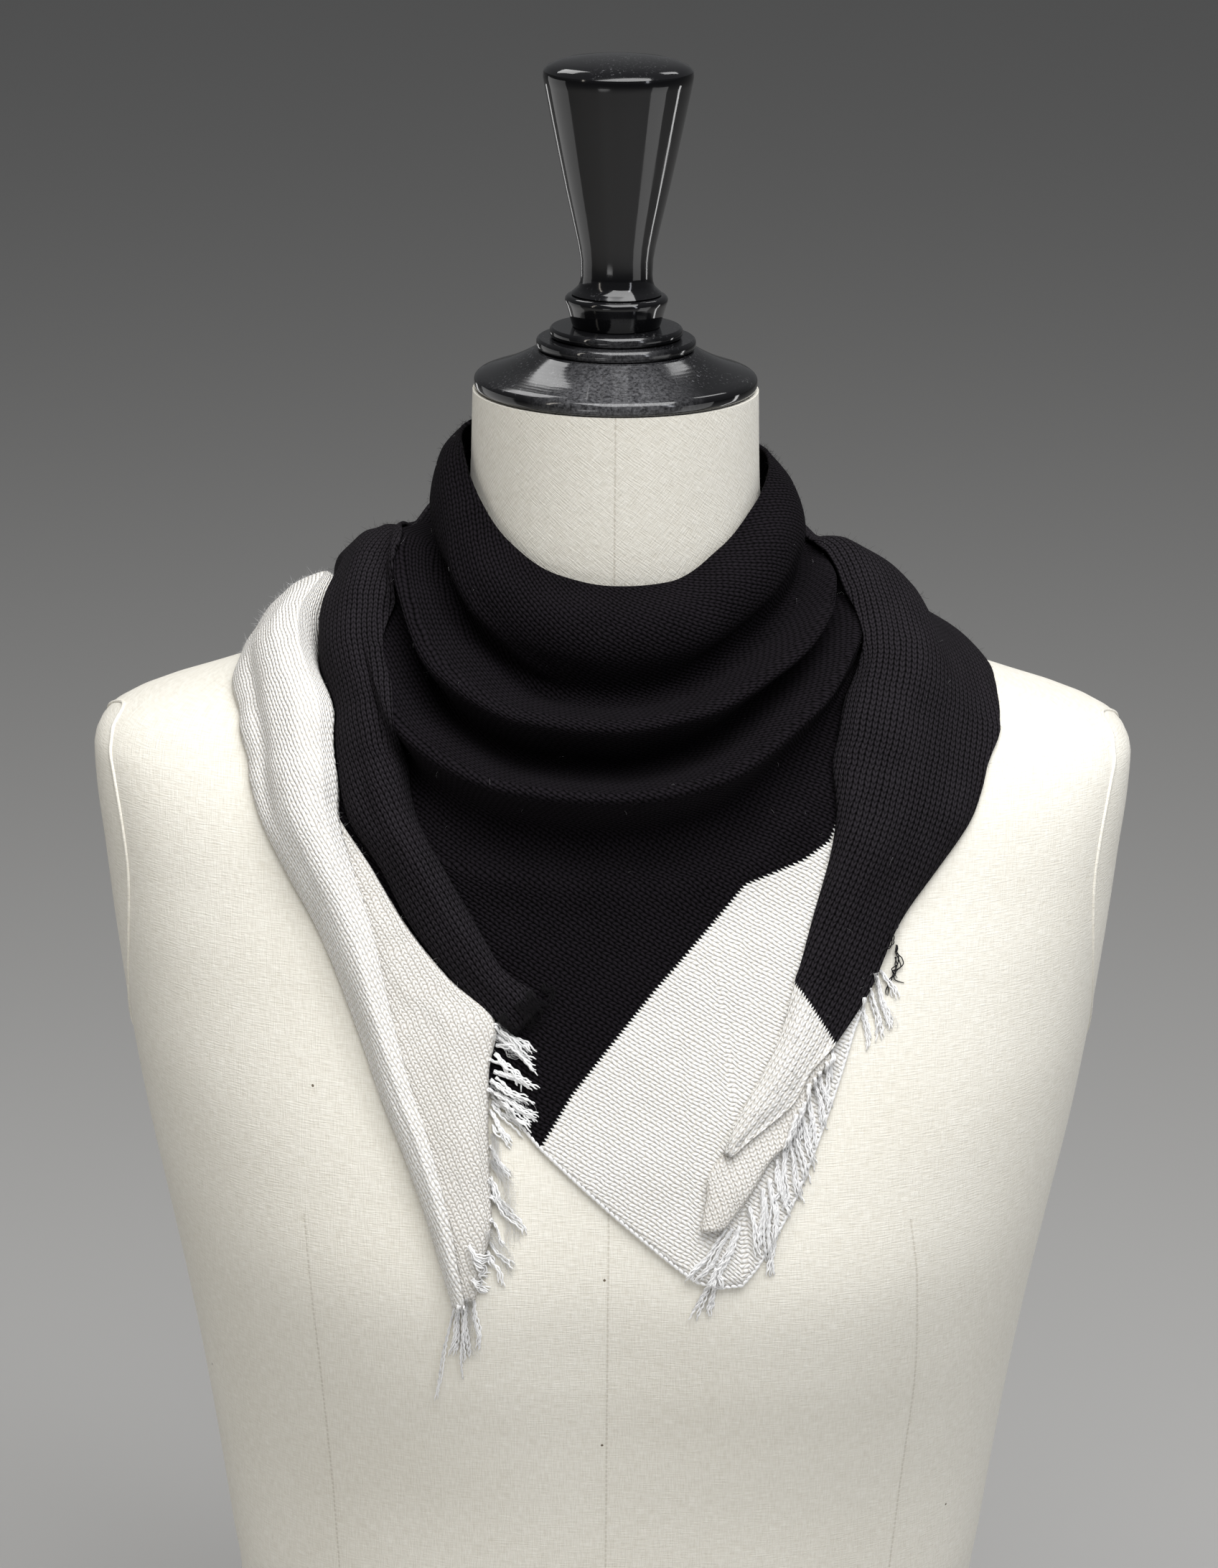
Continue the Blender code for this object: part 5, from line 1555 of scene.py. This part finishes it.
@dataclass
class LooseYarn:
    """Yarn that hangs from the cut edges, on whatever cloth or linen is below it."""

    surface: FormSurface
    pile: Pile
    points: int = 26

    def strands(self, clumps: Sequence[Clump], radius: float, seed: int) -> list[Tube]:
        """Draws each clump's strands from its root to its own tip.

        Args:
            clumps: the bunches.
            radius: the yarn's radius in mm.
            seed: the seed of their unevenness.

        Returns:
            The strands.
        """
        chance = np.random.default_rng(seed)
        made: list[Tube] = []
        share = np.linspace(0.0, 1.0, self.points)
        for clump in clumps:
            ends = self.surface.at(*np.array((clump.root, clump.tip)).T)
            ahead = ends[1] - ends[0]
            length = np.linalg.norm(ahead)
            _, lean = self.surface.nearest(ends[None, :1])
            beside = np.cross(ahead / length, lean[0, 0])
            phase, turns = chance.uniform(0.0, 2 * math.pi), chance.uniform(0.7, 1.5)
            for k in range(clump.strands):
                place = (k + 0.5) / clump.strands - 0.5 + chance.normal(0.0, 0.07)
                long = length * chance.uniform(0.82, 1.06)
                sway = np.sin(phase + chance.normal(0.0, 0.5) + 2 * math.pi * turns * share) - math.sin(phase)
                curl = clump.curl * chance.uniform(0.5, 1.3) * share ** 0.8
                drift = place * clump.fan * (0.35 + 0.65 * share ** 1.4)
                crimp = 2 * math.pi * long * share / (CRIMP * MM) + chance.uniform(0.0, 6.3)
                line = ends[0] + ahead / length * (long * share + curl * 0.4 * MM * np.sin(
                    phase + 9.0 * share + k))[:, None] + beside * ((drift + curl * sway + 0.2 * np.sin(crimp))
                                                                   * MM)[:, None]
                base, leans = self.surface.nearest(line[None])
                heap = self.pile.elevation(base, leans)
                heap = spread(spread(heap, (0, 1), np.max), (0, 1), np.mean)
                bow = clump.rise * chance.uniform(0.2, 1.0) * np.sin(math.pi * share ** 0.8) + 0.18 * (k % 4)
                bow = bow + 0.16 * np.cos(crimp)
                line = base[0] + leans[0] * ((heap[0] + radius + 0.1 + bow) * MM)[:, None]
                taper = radius * (1.0 - 0.45 * np.clip((share - 0.86) / 0.14, 0.0, 1.0) ** 2)
                made.append(Tube(line, taper))
        return made

    def selvedge(self, skin: Array, angles: Array) -> list[Tube]:
        """The chain of edge stitches along the hem: a cord that swells once a course."""
        hem = skin[-1, (angles > SELVEDGE_ANGLES[0]) & (angles < SELVEDGE_ANGLES[1])]
        run = run_lengths(hem)
        places = np.arange(0.0, run[-1], COURSE * MM / 5)
        line = np.stack([np.interp(places, run, hem[:, k]) for k in range(3)], axis=-1)
        _, lean = self.surface.nearest(line[None])
        wave = np.abs(np.sin(math.pi * places / (COURSE * MM)))
        side = np.sin(2 * math.pi * places / (COURSE * MM)) * 0.16
        line = line + lean[0] * ((-0.6 + 0.08 * wave) * MM)[:, None]
        line[:, 2] += side * MM
        return [Tube(line, 0.66 + 0.1 * wave)]


@dataclass(frozen=True)
class Nap:
    """A patch of the halo of stray fibres that steaming and wear raise from cashmere."""

    sheet: str
    count: int
    seed: int
    length: float = 2.2
    radius: float = 0.04
    rows: int | None = None   # how many of the sheet's rows carry fibres, from its top

    def fibres(self, skin: Array) -> list[Tube]:
        """Stands bent fibres on the sheet's outer skin."""
        chance = np.random.default_rng(self.seed)
        normals = grid_normals(skin)
        made: list[Tube] = []
        for pick in chance.integers(0, (self.rows or skin.shape[0]) * skin.shape[1], self.count):
            place = divmod(int(pick), skin.shape[1])
            root, lean = skin[place], normals[place]
            near = root + chance.normal(0.0, 0.0004, 3)
            stray = chance.normal(0.0, 0.75, 3)
            bend = chance.normal(0.0, 0.7, 3)
            length = self.length * chance.uniform(0.35, 1.25) * MM
            share = np.linspace(0.0, 1.0, 4)[:, None]
            way = lean * 0.9 + stray
            way /= np.linalg.norm(way)
            if way @ lean < 0.15:
                way = way + lean * (0.3 - way @ lean)
            line = near - lean * 0.0003 + way * length * share + bend * length * 0.5 * share ** 2
            made.append(Tube(line, self.radius * np.array((1.0, 0.9, 0.75, 0.4))))
        return made


DARK_NAP = (Nap("scarf_front", 3200, 61, rows=95), Nap("scarf_front", 900, 68, 1.76, rows=3),
            Nap("scarf_left_tail", 2000, 62), Nap("scarf_right_tail", 2600, 63))
PALE_NAP = (Nap("scarf_left_white", 2600, 65), Nap("scarf_left_reverse", 900, 66),
            Nap("scarf_front", 90, 67, 2.6, 0.024, 95), Nap("scarf_right_tail", 50, 69, 2.6, 0.024))


# ---- the dress form ----

NO_SEAM = 0.05            # metres from a seam, where there is none
BOARD_MIDDLE = (3.0, 474.0)   # an armhole board's centre as y and z in mm, its reach from there,
BOARD_REACH = (46.0, 58.0)    # and how much further its top and bottom are drawn up
BOARD_PEAK = 5.0
PIPING_RADIUS = 0.85


@dataclass
class DressForm:
    """The linen bust: one smooth shell from its flat base to its neck."""

    linen: Material
    sides: int = 300
    step: float = 3.3

    def build(self) -> Object:
        """Lofts the bust's shell and closes its base and neck."""
        heights = np.linspace(0.0, NECK_TOP, round(NECK_TOP / self.step))
        grid = np.stack([form_ring(h, self.sides) for h in heights])
        around = run_lengths(grid, axis=1)
        around = np.where(around > around[:, -1:] / 2, around - around[:, -1:], around)
        weave = np.stack((around, np.broadcast_to(grid[:, :1, 2], around.shape)), axis=-1)
        weave[:, self.sides // 2, 0] = np.abs(weave[:, self.sides // 2, 0])
        weave = np.where((grid[..., 2] > NECK_BIAS * MM)[..., None], weave @ turned(38.0).T, weave)
        obj = lay_grid(grid)
        write_uv(obj, "weave", weave.reshape(-1, 2))
        write_attribute(obj, "seam_distance", grid[..., 0].reshape(-1))
        write_attribute(obj, "dart_distance", self.dart_distance(grid).reshape(-1))
        edit_all(obj)
        bpy.ops.mesh.remove_doubles(threshold=0.00002)
        for height in (0.0, NECK_TOP * MM):
            bpy.ops.mesh.select_all(action="DESELECT")
            bpy.ops.mesh.select_mode(type="EDGE")
            shape = bmesh.from_edit_mesh(obj.data)
            for edge in shape.edges:
                if edge.is_boundary and all(abs(v.co.z - height) < 1e-5 for v in edge.verts):
                    edge.select_set(True)
            bmesh.update_edit_mesh(obj.data)
            bpy.ops.mesh.edge_face_add()
        close_outwards(obj, "bust", self.linen, 50.0)
        return obj

    def dart_distance(self, grid: Array) -> Array:
        """Signed distance in metres across the front from each place to its side's dart."""
        x, height = grid[..., 0], grid[..., 2] / MM
        heights, left, right = (np.array(column) for column in zip(*DARTS))
        reach = np.where(x < 0, smooth_between(heights, left, height), smooth_between(heights, right, height))
        return np.where(grid[..., 1] > 0.02, NO_SEAM, np.abs(x) - reach * MM)

    def piping(self, side: float) -> Tube:
        """The whipped edge of one armhole's covered board, as a cord let into the linen."""
        turn = np.linspace(0.0, 2 * math.pi, 121)
        depths = BOARD_MIDDLE[0] + BOARD_REACH[0] * np.cos(turn)
        heights = BOARD_MIDDLE[1] + BOARD_REACH[1] * np.sin(turn) + BOARD_PEAK * np.sin(turn) ** 3
        line = np.stack((np.zeros_like(turn), depths, heights), axis=1) * MM
        for point in line:
            flank = form_ring(point[2] / MM, 400)[30:171]
            point[0] = side * (np.interp(point[1], flank[:, 1], flank[:, 0]) - 0.00025)
        return Tube(line, np.full(len(line), PIPING_RADIUS))

    def boards(self) -> Object:
        """The piping of both armhole boards, which has the linen's weave and no seam."""
        obj = sew_tubes("armhole_piping", [self.piping(side) for side in (-1.0, 1.0)], 8, self.linen)
        weave = np.array([(v.co.y, v.co.z) for v in obj.data.vertices])
        write_uv(obj, "weave", weave)
        for name in ("seam_distance", "dart_distance"):
            write_attribute(obj, name, np.full(len(weave), NO_SEAM))
        return obj


# ---- the turned cap ----

@dataclass
class TurnedPiece:
    """One lacquered piece of the cap: its (radius, height) outline above its seat, in mm."""

    name: str
    outline: tuple[tuple[float, float], ...]
    seat: float
    sides: int = 96

    def build(self, lacquer: Material) -> Object:
        """Turns the piece: a ring drawn up and resized along its outline, then closed."""
        deselect_all()
        radius, height = self.outline[0]
        bpy.ops.mesh.primitive_circle_add(vertices=self.sides, radius=radius * MM, fill_type="NGON",
                                          location=(0.0, 0.0, (self.seat + height) * MM))
        obj = bpy.context.object
        bpy.ops.object.transform_apply(location=True)
        edit_all(obj)
        for (before, low), (after, high) in zip(self.outline, self.outline[1:]):
            bpy.ops.mesh.extrude_region_move(TRANSFORM_OT_translate={"value": (0.0, 0.0, (high - low) * MM)})
            scale = after / before
            bpy.ops.transform.resize(value=(scale, scale, 1.0),
                                     center_override=(0.0, 0.0, (self.seat + high) * MM))
        close_outwards(obj, self.name, lacquer, 35.0)
        return obj


PLATE_OUTLINE = ((50.2, 0.0), (51.2, 0.3), (51.8, 1.0), (52.0, 1.8), (52.0, 3.4), (51.8, 4.2), (51.3, 4.8),
                 (50.6, 5.3), (48.0, 6.2), (44.0, 7.6), (40.0, 9.2), (36.0, 11.1), (33.0, 12.7), (30.4, 14.2),
                 (29.6, 14.6))
LOWER_RING_OUTLINE = ((28.4, 0.0), (28.9, 0.35), (29.2, 0.9), (29.3, 1.9), (29.2, 2.9), (28.9, 3.5),
                      (28.3, 3.95), (24.4, 4.05))
UPPER_RING_OUTLINE = ((23.6, 0.0), (24.0, 0.3), (24.3, 0.8), (24.4, 1.7), (24.3, 2.7), (24.0, 3.2),
                      (23.5, 3.6), (18.0, 3.75))
FERRULE_OUTLINE = ((16.0, 0.0), (16.4, 0.9), (16.9, 2.6), (17.5, 4.8), (18.1, 6.8), (18.6, 8.4), (18.85, 9.4),
                   (18.7, 10.3), (18.1, 11.0), (17.1, 11.4))
HANDLE_OUTLINE = ((16.6, 0.0), (15.2, 1.3), (14.0, 2.4), (13.3, 4.4), (13.1, 7.0), (13.35, 12.7),
                  (14.3, 18.0), (16.1, 25.8), (19.1, 38.8), (21.9, 51.9), (24.6, 64.9), (26.9, 76.5),
                  (27.3, 79.2), (27.1, 81.2), (25.8, 82.6), (23.0, 83.9), (20.0, 84.8), (11.0, 85.9),
                  (3.0, 86.1))

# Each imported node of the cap, with the name and the outline of its turned piece.
CAP = (("neck_plate", "turned_neck_plate", PLATE_OUTLINE),
       ("cap_ring_lower", "turned_ring_lower", LOWER_RING_OUTLINE),
       ("cap_ring_upper", "turned_ring_upper", UPPER_RING_OUTLINE),
       ("handle_ferrule", "turned_ferrule", FERRULE_OUTLINE),
       ("handle", "turned_handle", HANDLE_OUTLINE))


# ---- studio ----

# Cards that only the lacquer mirrors: long streaks down the handle and patches on the plate.
MIRRORED = (
    ("card_right", (0.54, -0.22, 0.32), (0.3, 0.62), 0.7),
    ("card_right_edge", (0.56, 0.215, 0.32), (0.05, 0.62), 0.5),
    ("card_left", (-0.55, 0.2, 0.36), (0.5, 0.7), 0.8),
    ("card_left_edge", (-0.6, 1.1, 0.25), (0.12, 0.5), 0.3),
    ("card_back_left", (-0.52, 0.95, 1.75), (0.42, 0.42), 1.9),
    ("card_back_right", (0.6, 0.9, 1.75), (0.2, 0.34), 0.7),
)


@dataclass
class Studio:
    """Pale floor, soft windows and the camera."""

    paper: Material
    pitch: float = 16.53
    roll: float = 0.5
    lens: float = 114.85
    shift_x: float = -4.5 / 2184
    distance: float = 1.8     # metres in front of the neck's axis plane
    height: float = 1.0426

    def build(self) -> None:
        """Adds the floor, the lights and the camera."""
        deselect_all()
        bpy.ops.mesh.primitive_plane_add(size=30.0, location=(0.0, 0.0, 0.0))
        floor = bpy.context.object
        floor.location.z = -0.0005
        finish_mesh(floor, "studio_floor", self.paper)
        world = bpy.data.worlds.new("studio_air")
        world.use_nodes = True
        backdrop = world.node_tree.nodes["Background"]
        backdrop.inputs["Color"].default_value = linear_colour("#e9ebee")
        backdrop.inputs["Strength"].default_value = 0.15
        bpy.context.scene.world = world
        self.softbox("window_left", (-1.7, -1.2, 1.5), (0.0, 0.0, 0.45), (0.14, 1.8), 5.0, "#fff8ec")
        self.softbox("window_right", (1.5, -1.5, 1.5), (0.0, 0.0, 0.5), (0.2, 1.9), 7.0, "#f4f7ff")
        self.softbox("overhead", (0.25, -0.75, 2.2), (0.0, 0.0, 0.4), (1.7, 1.7), 56.0, "#ffffff")
        self.softbox("low_fill", (-0.6, -1.5, 0.15), (0.02, -0.1, 0.12), (0.5, 0.3), 0.25, "#ffffff")
        bpy.context.object.data.spread = math.radians(50.0)
        for name, place, size, watts in MIRRORED:
            self.softbox(name, place, (0.0, 0.0, 0.68 if place[2] > 1.0 else place[2]), size, watts, "#ffffff")
            bpy.context.object.visible_diffuse = False
        self.camera()
        bpy.context.scene.view_settings.view_transform = "Standard"
        bpy.context.scene.view_settings.look = "None"

    def softbox(self, name: str, place: tuple[float, float, float], target: tuple[float, float, float],
                size: tuple[float, float], watts: float, colour: str) -> None:
        """Adds one soft rectangular light that faces a target."""
        deselect_all()
        bpy.ops.object.light_add(type="AREA", location=place)
        light = bpy.context.object
        light.name = name
        light.rotation_euler = (Vector(target) - Vector(place)).to_track_quat("-Z", "Y").to_euler()
        light.data.shape = "RECTANGLE"
        light.data.size, light.data.size_y = size
        light.data.energy = watts
        light.data.color = linear_colour(colour)[:3]

    def camera(self) -> None:
        """Adds the camera, level with the chest and looking a little down."""
        bpy.ops.object.camera_add()
        camera = bpy.context.object
        camera.name = "camera"
        turn, lean = math.radians(self.pitch), math.radians(self.roll)
        ahead = Vector((0.0, math.cos(turn), -math.sin(turn)))
        right = Vector((1.0, 0.0, 0.0))
        up = right.cross(ahead)
        x_axis = right * math.cos(lean) + up * math.sin(lean)
        y_axis = up * math.cos(lean) - right * math.sin(lean)
        camera.matrix_world = Matrix(((x_axis.x, y_axis.x, -ahead.x, 0.0),
                                      (x_axis.y, y_axis.y, -ahead.y, -self.distance),
                                      (x_axis.z, y_axis.z, -ahead.z, self.height),
                                      (0.0, 0.0, 0.0, 1.0)))
        camera.data.sensor_fit = "VERTICAL"
        camera.data.sensor_height = 36.0
        camera.data.lens = self.lens
        camera.data.shift_x = self.shift_x
        camera.data.dof.use_dof = False
        camera.data.clip_end = 20.0
        bpy.context.scene.camera = camera


# ---- putting it together ----

FRINGES = {
    "fringe_left_edge": LEFT_EDGE_CLUMPS,
    "fringe_left_tip": LEFT_TIP_CLUMPS,
    "fringe_right_edge": RIGHT_EDGE_CLUMPS,
    "fringe_right_tip": RIGHT_TIP_CLUMPS,
    "fringe_right_tuft": RIGHT_TUFT_CLUMPS,
}
REPLACED = {
    "scarf_front": ("scarf_neck_roll", "scarf_upper_swag", "scarf_lower_swag", "scarf_bib_black",
                    "scarf_bib_white"),
    "scarf_right_tail": ("scarf_nape_wrap_under", "scarf_right_tail_black", "scarf_right_tail_white"),
    "scarf_right_reverse": ("scarf_right_tail_reverse",),
    "scarf_left_tail": ("scarf_nape_wrap_over", "scarf_left_tail_black"),
    "scarf_left_white": ("scarf_left_tail_white",),
    "scarf_left_reverse": ("scarf_left_tail_reverse",),
}


def install(piece: Object, slot: str, *nodes: str) -> None:
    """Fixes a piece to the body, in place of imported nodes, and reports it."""
    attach(piece, "root")
    if nodes:
        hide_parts(*nodes)
    LOG.info("%s: %d faces", piece.name, len(piece.data.polygons))


@dataclass
class Trim:
    """Everything that stands off the scarf: fringes, black ends, wisps and nap."""

    surface: FormSurface
    skins: dict[str, Array]
    angles: Array

    def build(self) -> None:
        """Sews and installs each piece of loose yarn."""
        white = YarnFinish("loose_white_yarn", "#ffffff", "#f3f0ea", through=0.6).material()
        black = YarnFinish("loose_black_yarn", "#1a181b", "#020202", halo=0.05).material()
        loose = LooseYarn(self.surface, Pile(list(self.skins.values())))
        for k, (node, table) in enumerate(FRINGES.items()):
            tubes = loose.strands(table, YARN_RADIUS, 40 + k)
            if node == "fringe_right_edge":
                tubes += loose.selvedge(self.skins["scarf_front"], self.angles)
            install(sew_tubes(node.replace("fringe", "yarn"), tubes, 6, white), "white_fringe", node)
        for name, table, radius, seed, sides, yarn, slot in (
                ("yarn_black_ends", BLACK_CLUMPS, PLY_RADIUS, 50, 5, black, "black_knit"),
                ("wisps_black", BLACK_WISPS, WISP_RADIUS, 51, 3, black, "black_knit"),
                ("wisps_white", WHITE_WISPS, WISP_RADIUS, 52, 3, white, "white_fringe")):
            install(sew_tubes(name, loose.strands(table, radius, seed), sides, yarn), slot)
        install(sew_tubes("nap_black", self.nap(DARK_NAP), 3, black), "black_knit")
        install(sew_tubes("nap_white", self.nap(PALE_NAP), 3, white), "white_knit")

    def nap(self, patches: Sequence[Nap]) -> list[Tube]:
        """The fibres of several patches."""
        return [tube for patch in patches for tube in patch.fibres(self.skins[patch.sheet])]


def main() -> None:
    """Builds every piece in order and reports it."""
    logging.basicConfig(level=logging.INFO, format="%(message)s")
    form = DressForm(LinenFinish().material())
    install(form.build(), "linen", "form_torso")
    install(form.boards(), "linen")
    lacquer = LacquerFinish().material()
    for node, name, outline in CAP:
        piece = TurnedPiece(name, outline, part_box(node)[0][2] / MM).build(lacquer)
        install(piece, "black_lacquer", node)
    scarf = Scarf(FormSurface(),
                  KnitFinish("cashmere_knit_face", KnitSide.FACE).material(),
                  # the ribbed black of the tails and the nape wraps is painted lighter than the drape's black,
                  # as painted light
                  KnitFinish("cashmere_knit_ribbed_painted_lighter", KnitSide.RIBBED, black="#2d2a2e").material(),
                  # the reverse's whites are painted darker than the face's, as painted shade
                  KnitFinish("cashmere_knit_reverse_painted_darker", KnitSide.REVERSE, white="#f6f4f0", white_painted_shade="#c9c3b9",
                             wale=2.3, course=1.7, relief=0.36, stray=2.0).material())
    scarf.build()
    for name, sheet in scarf.sheets.items():
        white = "reverse" in name or "white" in name
        install(sheet.obj, "white_knit" if white else "black_knit", *REPLACED[name])
        width, length, area = sheet.cut()
        LOG.info("its cut: %.0f x %.0f mm, %.4f m2", width / MM, length / MM, area)
    Trim(scarf.surface, {name: sheet.skin for name, sheet in scarf.sheets.items()}, scarf.angles).build()
    Studio(PaperFinish().material()).build()


if __name__ == "__main__":
    main()
